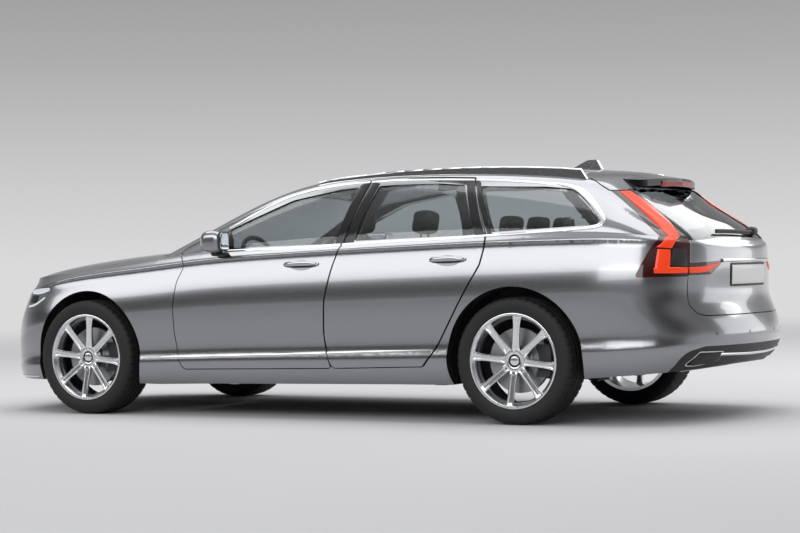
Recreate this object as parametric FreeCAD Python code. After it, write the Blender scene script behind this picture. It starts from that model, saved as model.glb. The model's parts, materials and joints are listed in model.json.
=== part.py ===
"""Five-door station wagon: driving sizes, body envelopes and every separate piece, in millimetres.

+X points forward, +Y to the left, +Z up. The origin lies on the ground below the middle of the car.
"""
import FreeCAD, Part
import math
import os
from FreeCAD import Rotation, Vector

doc = FreeCAD.newDocument("station_wagon")

# Driving dimensions
SIZES = {
    "car_length": 4936, "body_width": 1880, "wheel_base": 2941, "front_axle_x": 1592,
    "track_width": 1628, "tyre_radius": 352, "tyre_width": 245, "rim_radius": 258,
    "spoke_count": 8, "spoke_width": 62, "bore_radius": 35,
    "disc_radius": 180, "arch_radius": 410, "house_radius": 442,
    "front_house_inner": 470, "rear_house_inner": 600, "house_wall": 6,
    "door_wall": 110, "frame_wall": 46, "bonnet_wall": 30, "panel_gap": 5.5, "gate_skin": 16, "gate_step": 44,
    "glass_wall": 5, "glass_recess": 5, "floor_top": 262, "floor_wall": 24,
    "roof_z": 1462, "spoiler_wall": 38, "valance_top": 424,
    "rail_height": 1443, "rail_side": 600, "rail_width": 24, "rail_long_bend": 9500, "rail_short_bend": 2000,
    "seat_width": 500, "seat_side": 402, "seat_front": 560,
    "wheel_rim_radius": 185, "wheel_grip": 14, "steer_side": 380,
    "shaft_clearance": 0.05,
    "engine_length": 620, "engine_width": 560, "engine_height": 520,
    "exhaust_radius": 32, "pipe_height": 272, "tip_wall": 5, "tip_depth": 150,
    "seat_gap": 0.3, "rear_step": 158, "post_gap": 6, "post_wall": 44, "hinge_leaf": 34,
    "jack_side": 70, "jack_drop": 38, "jack_y": 660,
}
sheet = doc.addObject("Spreadsheet::Sheet", "Sizes")
for row, (alias, value) in enumerate(SIZES.items(), 1):
    sheet.set("A%d" % row, alias)
    sheet.set("B%d" % row, str(value))
    sheet.setAlias("B%d" % row, alias)
doc.recompute()


def size(alias):
    """Value of a driving dimension from the sheet."""
    return float(sheet.get(alias))


HALF = size("body_width") / 2
NOSE = size("car_length") / 2
TAIL = -NOSE
FRONT = size("front_axle_x")
REAR = FRONT - size("wheel_base")
MIDDLE = (FRONT + REAR) / 2
GAP = size("panel_gap")
FAR = 3000
nodes = []


# Curves and outlines
def along(stations, x):
    """Height or width at x on the straight runs between stations, given as (x, value) from the front."""
    ordered = sorted(stations)
    if x <= ordered[0][0]:
        return ordered[0][1]
    for (low, start), (high, end) in zip(ordered, ordered[1:]):
        if x <= high:
            return start + (end - start) * (x - low) / (high - low)
    return ordered[-1][1]


def in_plane(plane, a, b, offset):
    """Point with coordinates a, b of the plane xy, xz or yz at its offset."""
    if plane == "xz":
        return Vector(a, offset, b)
    if plane == "yz":
        return Vector(offset, a, b)
    return Vector(a, b, offset)


def rounded_wire(corners, plane, offset):
    """Closed wire through corners (a, b, radius), each rounded by a tangent arc of that radius."""
    count = len(corners)
    points = [in_plane(plane, a, b, offset) for a, b, _ in corners]
    edges = []
    first = None
    last = None
    for index, (_, _, radius) in enumerate(corners):
        here = points[index]
        back = (points[index - 1] - here)
        ahead = (points[(index + 1) % count] - here)
        back_length, ahead_length = back.Length, ahead.Length
        back.normalize()
        ahead.normalize()
        angle = back.getAngle(ahead)
        if radius <= 0 or angle > math.pi - 0.01:
            start = end = here
            arc = None
        else:
            reach = min(radius / math.tan(angle / 2), 0.48 * back_length, 0.48 * ahead_length)
            turn = reach * math.tan(angle / 2)
            start = here + back * reach
            end = here + ahead * reach
            middle = back + ahead
            middle.normalize()
            centre = here + middle * (turn / math.sin(angle / 2))
            arc = Part.Arc(start, centre - middle * turn, end).toShape()
        if last is not None and last.distanceToPoint(start) > 1e-6:
            edges.append(Part.makeLine(last, start))
        if first is None:
            first = start
        if arc is not None:
            edges.append(arc)
        last = end
    if last.distanceToPoint(first) > 1e-6:
        edges.append(Part.makeLine(last, first))
    return Part.Wire(edges)


def prism(corners, plane, low, high, grow=0.0):
    """Solid of a rounded outline between two offsets of its plane, grown outwards by a gap."""
    wire = rounded_wire(corners, plane, low)
    if grow:
        wire = Part.Face(wire).makeOffset2D(grow).OuterWire
    step = in_plane(plane, 0, 0, high - low)
    return Part.Face(wire).extrude(step)


def mirrored(shape):
    """Copy of a shape on the other side of the car."""
    return shape.mirror(Vector(0, 0, 0), Vector(0, 1, 0))


def both_sides(shape):
    """Compound of a shape and its mirror image."""
    return Part.makeCompound([shape, mirrored(shape)])


def box(x0, x1, y0, y1, z0, z1):
    """Block between two corners."""
    return Part.makeBox(x1 - x0, y1 - y0, z1 - z0, Vector(x0, y0, z0))


def cylinder_y(x, z, radius, y0, y1):
    """Cylinder along Y."""
    return Part.makeCylinder(radius, y1 - y0, Vector(x, y0, z), Vector(0, 1, 0))


def net_surface(poles, closed=False):
    """Cubic surface that follows a net of control points, closed round its first direction."""
    rows, columns = len(poles), len(poles[0])
    surface = Part.BSplineSurface()
    across = [4] + [1] * (columns - 4) + [4]
    if closed:
        around = [1] * (rows + 1)
    else:
        around = [4] + [1] * (rows - 4) + [4]
    surface.buildFromPolesMultsKnots(poles, around, across, list(range(len(around))),
                                     list(range(len(across))), closed, False, 3, 3)
    return surface


def closed_by_planes(surface):
    """Solid of a surface whose free edges are flat rings, or lie on flat ends and a flat foot."""
    skin = surface.toShape()
    free = [edge for edge in skin.Edges if not edge.isSeam(skin.Faces[0])]
    if surface.isUPeriodic():
        flats = [Part.Face(Part.Wire([edge])) for edge in free]
    else:
        ends = [edge for edge in free if edge.BoundBox.XLength < 1]
        feet = [edge for edge in free if edge.BoundBox.XLength >= 1]
        spans = [Part.makeLine(*[vertex.Point for vertex in edge.Vertexes]) for edge in ends]
        flats = [Part.Face(Part.Wire([edge, span])) for edge, span in zip(ends, spans)]
        flats.append(Part.Face(Part.Wire(Part.sortEdges(feet + spans)[0])))
    solid = Part.Solid(Part.Shell([skin] + flats))
    solid.fix(0.001, 0.001, 0.001)
    return solid


# Plan of the widest line, from the nose round the left side to the tail: (x, inset from half width)
PLAN = [(NOSE, HALF), (NOSE - 4, 720), (NOSE - 50, 440), (NOSE - 155, 215), (NOSE - 350, 80),
        (FRONT + 270, 26), (FRONT, 9), (FRONT - 420, 4), (MIDDLE + 560, 2), (MIDDLE, 0),
        (MIDDLE - 560, -2), (REAR + 420, -3), (REAR + 150, -2), (REAR - 230, 6), (REAR - 520, 28),
        (TAIL + 370, 78), (TAIL + 180, 200), (TAIL + 68, 420), (TAIL + 4, 720), (TAIL, HALF)]

# Rows of the side: (height at the middle of the doors, inset of the side, of the nose, of the tail)
ROWS = [(170, 72, 95, 170), (205, 42, 46, 118), (255, 22, 14, 60), (310, 11, 4, 18), (345, 9, 2, 6),
        (382, 19, 2, 2), (430, 21, 0, 0), (520, 13, 0, 24), (620, 5, 6, 80), (700, 5, 18, 82),
        (780, 12, 40, 78), (850, 26, 62, 76), (905, 40, 82, 78), (938, 44, 98, 80),
        (955, 39, 110, 84), (976, 58, 130, 98), (1002, 78, 152, 124)]
SILL = [(NOSE, 165), (FRONT, 168), (FRONT - 600, 172), (REAR + 500, 190), (REAR - 420, 240), (TAIL, 270)]
CREASE = [(NOSE, 700), (NOSE - 170, 728), (FRONT + 536, 762), (FRONT + 373, 812), (FRONT + 54, 860),
          (FRONT - 485, 902), (FRONT - 860, 948), (MIDDLE - 90, 975), (MIDDLE - 760, 999),
          (REAR + 78, 1013), (REAR - 520, 1015), (REAR - 840, 1004), (TAIL, 962)]
BELT = [(NOSE, 745), (FRONT + 536, 810), (FRONT + 54, 903), (FRONT - 485, 946), (FRONT - 740, 985),
        (FRONT - 1060, 997), (MIDDLE - 70, 1003), (MIDDLE - 740, 1031), (REAR + 95, 1050),
        (REAR - 507, 1074), (REAR - 840, 1040), (TAIL, 986)]
# Lower edge of the body in side view: (x, height)
UNDERSIDE = [(NOSE, 205), (FRONT + 340, 205), (FRONT - 520, 190), (FRONT - 970, 200), (MIDDLE - 730, 212),
             (REAR + 420, 213), (REAR - 405, 258), (REAR - 625, 272), (REAR - 830, 288), (REAR - 930, 298),
             (REAR - 1050, 328), (TAIL, 336)]
ROW_SILL, ROW_CREASE, ROW_BELT = ROWS[0][0], ROWS[14][0], ROWS[-1][0]


def row_height(height, x):
    """Height at x of a row that is given at the middle of the doors."""
    sill, crease, belt = along(SILL, x), along(CREASE, x), along(BELT, x)
    if height <= ROW_CREASE:
        return sill + (crease - sill) * (height - ROW_SILL) / (ROW_CREASE - ROW_SILL)
    return crease + (belt - crease) * (height - ROW_CREASE) / (ROW_BELT - ROW_CREASE)


def side_surface(wall):
    """Surface round the car from sill to belt, moved inwards by a wall."""
    left = PLAN
    around = left + [(x, 2 * HALF - inset) for x, inset in left[-2:0:-1]]
    points = [Vector(x, HALF - inset, 0) for x, inset in around]
    net = []
    for index, point in enumerate(points):
        run = points[(index + 1) % len(points)] - points[index - 1]
        outwards = Vector(-run.y, run.x, 0)
        if outwards.dot(point) < 0:
            outwards = -outwards
        outwards.normalize()
        nose = max(0.0, outwards.x) ** 2
        tail = max(0.0, -outwards.x) ** 2
        side = 1 - nose - tail
        column = []
        for height, side_inset, nose_inset, tail_inset in ROWS:
            inset = side * side_inset + nose * nose_inset + tail * tail_inset + wall
            column.append(point - outwards * inset + Vector(0, 0, row_height(height, point.x)))
        under = column[0] - outwards * 70
        over = column[-1] - outwards * 40
        column = [Vector(under.x, under.y, 60)] + column
        column.append(over + Vector(0, 0, 60))
        column.append(Vector(over.x, over.y, 1500))
        net.append(column)
    return net_surface(net, closed=True)


# Top of the bonnet and belt: (x, height at the centre line, drop at half width)
DECK = [(NOSE + 90, 690, 90), (NOSE - 10, 748, 105), (NOSE - 90, 800, 120), (NOSE - 228, 872, 128),
        (NOSE - 458, 934, 126), (FRONT + 178, 963, 122), (FRONT - 30, 984, 118), (FRONT - 260, 1002, 112),
        (FRONT - 490, 1012, 96), (FRONT - 740, 1018, 46), (FRONT - 1060, 1026, 34),
        (MIDDLE - 70, 1032, 34), (MIDDLE - 740, 1058, 34), (REAR + 95, 1076, 34), (REAR - 507, 1090, 34),
        (REAR - 840, 1024, 30), (TAIL + 110, 986, 20), (TAIL - 90, 968, 18)]
DECK_SHARES = [-1.1, -0.98, -0.85, -0.68, -0.4, 0.0, 0.4, 0.68, 0.85, 0.98, 1.1]


def deck_solid(lower):
    """Everything below the bonnet and belt surface, lowered by a wall."""
    net = []
    for x, centre, drop in DECK:
        net.append([Vector(x, share * HALF, centre - drop * abs(share) ** 3 - lower)
                    for share in DECK_SHARES])
    return net_surface(net).toShape().extrude(Vector(0, 0, -1400))


# Greenhouse sections: (x, half width at the cant rail, its height, height of the centre line)
ROOF = size("roof_z")
CABIN = [(FRONT + 120, 850, 680, 760), (FRONT - 80, 845, 754, 834), (FRONT - 260, 832, 836, 910),
         (FRONT - 420, 815, 910, 988), (FRONT - 560, 796, 976, 1064), (FRONT - 740, 768, 1056, 1158),
         (FRONT - 940, 737, 1152, 1258), (FRONT - 1120, 711, 1232, 1338), (FRONT - 1280, 692, 1292, 1390),
         (FRONT - 1460, 677, 1338, 1426), (MIDDLE - 190, 668, 1370, ROOF - 12), (MIDDLE - 560, 663, 1388, ROOF - 3),
         (MIDDLE - 920, 661, 1388, ROOF - 5), (REAR + 190, 659, 1374, ROOF - 14), (REAR - 120, 655, 1352, ROOF - 34),
         (REAR - 320, 650, 1330, ROOF - 52), (REAR - 450, 646, 1306, ROOF - 64), (REAR - 520, 642, 1252, ROOF - 112),
         (REAR - 600, 640, 1198, ROOF - 196), (REAR - 700, 640, 1136, ROOF - 262), (REAR - 790, 640, 1080, ROOF - 319),
         (REAR - 860, 632, 1036, ROOF - 364), (REAR - 910, 606, 1000, ROOF - 400), (REAR - 950, 540, 968, ROOF - 432),
         (REAR - 985, 430, 930, ROOF - 487)]
# Narrowing of the greenhouse belt towards the tail: (x, inset)
TAPER = [(REAR - 300, 0), (REAR - 450, 10), (REAR - 600, 34), (REAR - 700, 66), (REAR - 790, 120),
         (REAR - 860, 190), (REAR - 910, 262), (REAR - 950, 336), (REAR - 985, 440)]
CABIN_FOOT = 520
CANT_SHARE = 0.75


def cabin_solid(wall):
    """Greenhouse from the doors' belt over the roof, moved inwards by a wall."""
    net = []
    for index, (x, cant_width, cant_height, top) in enumerate(CABIN):
        ahead, behind = CABIN[max(index - 1, 0)], CABIN[min(index + 1, len(CABIN) - 1)]
        run = ahead[0] - behind[0]
        top = top - wall * math.hypot(1, (ahead[3] - behind[3]) / run)
        cant_height = cant_height - CANT_SHARE * wall * math.hypot(1, (ahead[2] - behind[2]) / run)
        cant_width = cant_width - wall
        belt = min(along(BELT, x), cant_height - 110)
        belt_width = HALF - 72 - along(TAPER, x) - wall
        lean_y = cant_width - belt_width
        lean_z = cant_height - belt
        half = [(belt_width + 4, CABIN_FOOT), (belt_width + 3, (CABIN_FOOT + belt) / 2), (belt_width, belt)]
        half += [(belt_width + lean_y * 0.3 + 10, belt + lean_z * 0.33),
                 (belt_width + lean_y * 0.64 + 10, belt + lean_z * 0.67),
                 (cant_width + 10, cant_height - 26), (cant_width - 16, cant_height + 12)]
        rise = top - cant_height
        half += [(cant_width - 70, cant_height + 0.36 * rise), (cant_width * 0.66, cant_height + 0.75 * rise),
                 (cant_width * 0.33, cant_height + 0.95 * rise)]
        full = half + [(0, top)] + [(-y, z) for y, z in reversed(half)]
        net.append([Vector(x, y, z) for y, z in full])
    return closed_by_planes(net_surface(net))


deck = deck_solid(0)
lower_outer = closed_by_planes(side_surface(0)).common(deck)
lower_inner = closed_by_planes(side_surface(size("door_wall"))).common(deck_solid(size("frame_wall")))
cabin_outer = cabin_solid(0)
cabin_inner = cabin_solid(size("frame_wall"))
outer = lower_outer.fuse(cabin_outer)
inner = lower_inner.fuse(cabin_inner)
below = [(x, z, 60) for x, z in UNDERSIDE[1:-1]]
underside = prism([(FAR, UNDERSIDE[0][1], 0)] + below + [(-FAR, UNDERSIDE[-1][1], 0), (-FAR, -100, 0), (FAR, -100, 0)],
                  "xz", -FAR, FAR)
walls = outer.cut(inner).cut(underside)
left_walls = walls.common(Part.makeBox(2 * FAR, FAR, FAR, Vector(-FAR, 0, 0)))

ARCH, HOUSE = size("arch_radius"), size("house_radius")
WHEEL_Z = size("tyre_radius")


def keep(label, shape, placement=None):
    """Add a finished piece to the document under its own label."""
    solids = shape.Solids
    if not solids:
        raise ValueError("no solid in " + label)
    piece = doc.addObject("Part::Feature", label)
    piece.Label = label
    piece.Shape = solids[0] if len(solids) == 1 else Part.makeCompound(solids)
    if placement is not None:
        piece.Placement = placement
    nodes.append(piece)
    return piece


def big(shape, least=2.0e5):
    """Shape without crumbs smaller than a volume in cubic millimetres."""
    return Part.makeCompound([solid for solid in shape.Solids if solid.Volume > least])


def skin_side(x, z):
    """Half width of the outside of the body at a place on its side."""
    probe = Part.makeLine(Vector(x, FAR, z), Vector(x, 0, z)).common(outer)
    return max(vertex.Y for vertex in probe.Vertexes)


# Door outlines in side view: (x, z, corner radius)
FRONT_CUT = [(FRONT - 736, 288, 30), (FRONT - 700, 345, 80), (FRONT - 674, 500, 300), (FRONT - 670, 667, 200),
             (FRONT - 690, 812, 200), (FRONT - 742, 918, 60), (FRONT - 700, 990, 20)]
PILLAR_CUT = [(MIDDLE - 440, 1372, 0), (MIDDLE - 360, 1016, 14), (MIDDLE - 318, 905, 160),
              (MIDDLE - 268, 700, 400), (MIDDLE - 256, 480, 300), (MIDDLE - 285, 350, 60), (MIDDLE - 310, 303, 30)]
ARCH_CUT = [(REAR + 182, 1040, 30), (REAR + 173, 1010, 30), (REAR + 200, 880, 120), (REAR + 330, 668, 300),
            (REAR + 476, 424, 160), (REAR + 560, 318, 30)]
CANT = [(FRONT - 655, 1000), (FRONT - 760, 1044), (FRONT - 905, 1118), (FRONT - 1118, 1214),
        (FRONT - 1360, 1304), (MIDDLE - 220, 1363)]
front_door_outline = ([(FRONT - 655, 1000, 20)] + [(x, z, 220) for x, z in CANT[1:5]]
                      + [(MIDDLE - 220, 1363, 220), (MIDDLE - 443, 1384, 10)] + PILLAR_CUT[1:] + FRONT_CUT[:-1])
rear_door_outline = ([(MIDDLE - 443 - GAP, 1384, 10), (MIDDLE - 620, 1391, 300), (MIDDLE - 900, 1386, 300),
                      (REAR + 345, 1376, 24)] + ARCH_CUT
                     + [(x - GAP, z, r) for x, z, r in PILLAR_CUT[:0:-1]])
front_window = [(FRONT - 800, 1004, 18), (FRONT - 930, 1086, 60), (FRONT - 1130, 1176, 220), (FRONT - 1400, 1284, 220),
                (MIDDLE - 250, 1338, 160), (MIDDLE - 378, 1347, 14), (MIDDLE - 300, 1018, 14)]
rear_window = [(MIDDLE - 506, 1350, 14), (MIDDLE - 640, 1354, 300), (MIDDLE - 900, 1352, 300), (REAR + 400, 1338, 14),
               (REAR + 252, 1050, 14), (MIDDLE - 428, 1032, 14)]
quarter_window = [(REAR + 306, 1328, 14), (REAR - 100, 1312, 200), (REAR - 270, 1294, 60), (REAR - 352, 1258, 80),
                  (REAR - 430, 1190, 80), (REAR - 484, 1118, 26), (REAR - 476, 1090, 20), (REAR + 152, 1062, 14)]
DOOR_Y = HALF - 330
DOOR_FOOT, DOOR_HEAD = 320, 1390
SWING_GAP = 2.5


def door(outline, window, axis_x, axis_y):
    """Door from the body's walls, its shut face rounded to swing about the hinge axis."""
    panel = left_walls.common(prism(outline, "xz", DOOR_Y, FAR))
    heights = [DOOR_FOOT + step * (DOOR_HEAD - DOOR_FOOT) / 17 for step in range(18)]
    profile = []
    for z in heights:
        line = Part.makeLine(Vector(-FAR, 0, z), Vector(FAR, 0, z))
        cut = Part.Face(rounded_wire(outline, "xz", 0)).common(line)
        if not cut.Vertexes:
            continue
        x = min(vertex.X for vertex in cut.Vertexes) + 2
        reach = math.hypot(axis_x - x, axis_y - skin_side(x, z)) - SWING_GAP
        profile.append(Vector(axis_x - reach, axis_y, z))
    low, high = profile[0], profile[-1]
    edge = Part.makePolygon([Vector(axis_x, axis_y, 200), Vector(low.x, axis_y, 200)] + profile
                            + [Vector(high.x, axis_y, 1450), Vector(axis_x, axis_y, 1450),
                               Vector(axis_x, axis_y, 200)])
    swing = Part.Face(edge).revolve(Vector(axis_x, axis_y, 0), Vector(0, 0, 1), 360)
    panel = panel.common(swing)
    return big(panel.cut(prism(window, "xz", 0, FAR)))


HINGE_Y = HALF - 2
FRONT_HINGE = FRONT - 664
REAR_HINGE = MIDDLE - 256
front_door = door(front_door_outline, front_window, FRONT_HINGE, HINGE_Y)
rear_door = door(rear_door_outline, rear_window, REAR_HINGE, HINGE_Y)
glass_outer = cabin_solid(size("glass_recess"))
glass_inner = cabin_solid(size("glass_recess") + size("glass_wall"))


def pane(space):
    """Sheet of glass that fills a window opening."""
    outside = space.cut(glass_inner)
    sheet_of_glass = outside.common(glass_outer)
    if not sheet_of_glass.Solids:
        sheet_of_glass = outside.cut(outside.cut(glass_outer))
    return big(sheet_of_glass, 1000)


front_glass = pane(prism(front_window, "xz", 100, FAR))
rear_glass = pane(prism(rear_window, "xz", 100, FAR))
quarter_glass = pane(prism(quarter_window, "xz", 100, FAR))

# Bonnet, tailgate, windscreen and roof outlines
BONNET_BACK = FRONT - 262
BONNET = [(NOSE - 128, 420, 500), (NOSE - 214, 640, 160), (FRONT + 180, 744, 900), (FRONT - 60, 776, 600),
          (FRONT - 430, 776, 60), (FRONT - 400, 600, 500)]
bonnet_outline = BONNET + [(BONNET_BACK, 300, 900), (BONNET_BACK, -300, 900)] + [(x, -y, r) for x, y, r in BONNET[::-1]]
bonnet_outline += [(NOSE - 100, -200, 600), (NOSE - 100, 200, 600)]
bonnet_shell = deck.cut(deck_solid(size("bonnet_wall")))
front_half = box(FRONT - 700, FAR, -FAR, FAR, 500, 1300)
bonnet = lower_outer.common(bonnet_shell.common(front_half)).common(prism(bonnet_outline, "xy", 0, FAR))
screen_outline = [(FRONT - 1206, 560, 60), (FRONT - 900, 640, 200), (FRONT - 530, 742, 60), (FRONT - 330, 300, 500),
                  (FRONT - 330, -300, 500), (FRONT - 530, -742, 60), (FRONT - 900, -640, 200), (FRONT - 1206, -560, 60)]
GATE_X, GATE_TOP = REAR - 251, 1282
TAILGATE = [(560, 590, 40), (620, 600, 60), (652, 646, 40), (646, 756, 200), (626, 872, 200), (614, 946, 60),
            (606, 984, 60), (584, 1048, 120), (564, 1110, 200), (546, 1224, 200), (560, 1262, 60)]
tailgate_outline = TAILGATE + [(574, 1600, 0), (-574, 1600, 0)] + [(-y, z, r) for y, z, r in TAILGATE[::-1]]
GATE_SHOULDER = [(GATE_X, 1600, 0), (GATE_X, 1388, 20), (GATE_X - 70, 1359, 40), (GATE_X - 134, 1333, 40),
                 (GATE_X - 185, 1303, 20), (GATE_X - 221, GATE_TOP, 0), (TAIL - 100, GATE_TOP, 0), (TAIL - 100, 1600, 0)]
tail_half = [(498, 1298, 40), (506, 1222, 100), (520, 1150, 100), (530, 1090, 60), (546, 1036, 60), (564, 994, 24),
             (250, 1012, 600)]
tail_window = tail_half + [(-y, z, r) for y, z, r in tail_half[::-1]]
FRONT_LAMP = [(FRONT + 303, 790, 10), (FRONT + 308, 765, 14), (FRONT + 363, 715, 40), (FRONT + 448, 665, 40),
              (FRONT + 543, 652, 60), (FRONT + 658, 660, 60), (NOSE + 60, 665, 0), (NOSE + 60, 775, 0),
              (FRONT + 558, 771, 80), (FRONT + 428, 785, 60)]
FRONT_LAMP_SIDE = 500
GRILLE = [(-400, 300, 60), (-470, 560, 90), (-380, 690, 60), (380, 690, 60), (470, 560, 90), (400, 300, 60)]
REAR_LAMP = [(REAR - 470, GATE_TOP, 0), (REAR - 531, 1235, 80), (REAR - 593, 1184, 120), (REAR - 661, 1130, 120),
             (REAR - 731, 1071, 120), (REAR - 801, 1009, 16), (REAR - 766, 962, 60), (REAR - 742, 910, 80),
             (REAR - 720, 862, 80), (REAR - 692, 798, 14), (REAR - 854, 805, 200), (TAIL - 60, 811, 0),
             (TAIL - 60, GATE_TOP, 0)]
GATE_LAMP = [(HALF, 806, 0), (468, 809, 40), (402, 848, 40), (352, 879, 6), (349, 884, 4), (612, 874, 300),
             (HALF, 866, 0)]
front_lamp_zone = prism(FRONT_LAMP, "xz", FRONT_LAMP_SIDE, FAR)
grille_zone = prism(GRILLE, "yz", NOSE - 230, FAR)
rear_lamp_zone = prism(REAR_LAMP, "xz", 0, FAR)
gate_lamp_zone = prism(GATE_LAMP, "yz", TAIL - 200, REAR - 700)
GATE_LINES = ((tailgate_outline, "yz", TAIL - 200, GATE_X), (GATE_SHOULDER, "xz", -FAR, FAR))


def gate_region(grow, push):
    """Room of the tailgate: between the lamps below, all of the roof's end above."""
    (flank, flank_plane, start, end), (crown, crown_plane, right, left) = GATE_LINES
    lower = prism(flank, flank_plane, start, end + push, grow).common(box(-FAR, FAR, -FAR, FAR, 0, GATE_TOP))
    return lower.fuse(prism(crown, crown_plane, right, left, push))


def body_within(wall):
    """Room inside the outer surface moved inwards by one wall all round."""
    return closed_by_planes(side_surface(wall)).common(deck_solid(wall)).fuse(cabin_solid(wall))


gate_zone = gate_region(0, 0)
gate_step = body_within(size("gate_skin")).cut(gate_region(-size("gate_step"), 0))
SPOILER_FRONT, SPOILER_BACK = Vector(GATE_X - 60, 0, 1411), Vector(TAIL + 450, 0, 1350)
SPOILER_CROWN = 36


def spoiler_shape():
    """Blade that carries the roof's line on past the glass, with a bowed trailing edge."""
    wall = Vector(0, 0, -size("spoiler_wall"))
    ends = [Vector(0, side * 460, -SPOILER_CROWN) + SPOILER_FRONT for side in (-1, 1)]
    crest = Part.Arc(ends[0], SPOILER_FRONT, ends[1]).toShape()
    under = Part.Arc(ends[0] + wall, SPOILER_FRONT + wall, ends[1] + wall).toShape()
    flanks = [Part.makeLine(end, end + wall) for end in ends]
    blade = Part.Face(Part.Wire([crest, flanks[1], under, flanks[0]])).extrude(SPOILER_BACK - SPOILER_FRONT)
    plan = [(GATE_X - 10, 454, 10), (GATE_X - 244, 454, 60), (GATE_X - 318, 400, 120), (GATE_X - 370, 200, 400),
            (GATE_X - 394, 0, 600), (GATE_X - 370, -200, 400), (GATE_X - 318, -400, 120), (GATE_X - 244, -454, 60),
            (GATE_X - 10, -454, 10)]
    return blade.common(prism(plan, "xy", 1200, 1500))


tail_space = prism(tail_window, "yz", TAIL - 200, GATE_X - 200)
tailgate = big(walls.common(gate_zone).cut(gate_step).cut(tail_space))
gate_lamp = big(tailgate.common(gate_lamp_zone))
spoiler = spoiler_shape().cut(body_within(size("gate_skin")))
tailgate = big(tailgate.cut(gate_lamp_zone).cut(mirrored(gate_lamp_zone)).fuse(spoiler))
tail_glass = pane(tail_space)
screen = pane(prism(screen_outline, "xy", 900, 1600))

# Fixed body pieces
gate_space = gate_region(GAP, GAP)
bonnet_space = prism(bonnet_outline, "xy", 500, 1300, GAP)
door_space = prism(front_door_outline, "xz", DOOR_Y - GAP, FAR, GAP)
door_space = door_space.fuse(prism(rear_door_outline, "xz", DOOR_Y - GAP, FAR, GAP))
arches = cylinder_y(FRONT, WHEEL_Z, ARCH, 0, FAR).fuse(cylinder_y(REAR, WHEEL_Z, ARCH, 0, FAR))
BUMPER_FRONT = FRONT + 400
REAR_BUMPER = [(REAR - 330, 0, 0), (REAR - 330, 500, 0), (REAR - 392, 522, 30), (REAR - 700, 802, 0), (TAIL - 100, 802, 0),
               (TAIL - 100, 0, 0)]
rear_bumper_zone = prism(REAR_BUMPER, "xz", -FAR, FAR)
front_bumper_zone = box(BUMPER_FRONT, FAR, -FAR, FAR, 0, 700)
fixed = left_walls.cut(door_space).cut(arches).cut(gate_space).cut(bonnet_space)
fixed = fixed.cut(prism(screen_outline, "xy", 900, 1600)).cut(prism(quarter_window, "xz", 0, FAR))
rear_lamp = big(fixed.common(rear_lamp_zone))
fixed = fixed.cut(rear_lamp_zone)
front_lamp = big(fixed.common(front_lamp_zone))
fixed = fixed.cut(front_lamp_zone)
roof_zone = prism([(FRONT - 1206, 0, 0), (FRONT - 1206, 560, 60), (MIDDLE - 500, 560, 0), (GATE_X - 80, 540, 0),
                   (GATE_X - 80, 0, 0)], "xy", 1200, 1700)
roof_half = fixed.common(roof_zone)
roof = big(roof_half.fuse(mirrored(roof_half)))
fixed = fixed.cut(roof_zone)
wing_zone = box(FRONT - 760, FAR, 0, FAR, 0, 1020)
wing = big(fixed.common(wing_zone).cut(front_bumper_zone).cut(box(FRONT - 800, FAR, 0, HALF - 260, 0, 2000)))
side = big(fixed.cut(wing_zone).cut(rear_bumper_zone).cut(box(-FAR, FAR, -1, HALF - 420, 0, 900))
           .cut(box(FRONT - 560, FAR, -1, HALF - 200, 0, FAR)))
tail_half_walls = left_walls.common(rear_bumper_zone).cut(arches).cut(gate_space).cut(rear_lamp_zone)
rear_bumper = tail_half_walls.fuse(mirrored(tail_half_walls))
VALANCE = [(715, 200, 0), (715, size("valance_top") - 30, 60), (600, size("valance_top"), 60),
           (-600, size("valance_top"), 60), (-715, size("valance_top") - 30, 60), (-715, 200, 0)]
valance_zone = prism(VALANCE, "yz", TAIL - 100, REAR - 500)
TIP = [(432, 330, 14), (440, 392, 14), (625, 396, 14), (672, 318, 14), (600, 313, 14)]
tip_space = prism(TIP, "yz", TAIL - 100, REAR - 700)
tip_spaces = tip_space.fuse(mirrored(tip_space))
valance = big(rear_bumper.common(valance_zone).cut(tip_spaces))
rear_bumper = big(rear_bumper.cut(valance_zone).cut(tip_spaces))
nose = walls.common(front_bumper_zone).cut(arches).cut(bonnet_space)
nose = nose.cut(front_lamp_zone).cut(mirrored(front_lamp_zone))
front_bumper = big(nose.cut(grille_zone))
grille = big(nose.common(grille_zone).common(box(NOSE - 110, FAR, -FAR, FAR, 0, 900)))
scuttle = walls.common(box(FRONT - 480, FRONT - 262, 260 - HALF, HALF - 260, 900, 1100)).cut(bonnet_space)
scuttle = big(scuttle.cut(prism(screen_outline, "xy", 900, 1600)).cut(cabin_outer).cut(side))
LEAF, SEAT_GAP = size("hinge_leaf"), size("seat_gap")


def in_gap(outline, plane, low, high, region):
    """Hinge leaf in the gap round a panel, short of the panel by the seat gap."""
    return prism(outline, plane, low, high, GAP + 1).cut(prism(outline, plane, low, high, SEAT_GAP)).common(region)


def shrunk(extra):
    """Inside of the body walls, moved inwards once more."""
    low = closed_by_planes(side_surface(size("door_wall") + extra)).common(deck_solid(size("frame_wall") + extra))
    return low.fuse(cabin_solid(size("frame_wall") + extra))


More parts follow.
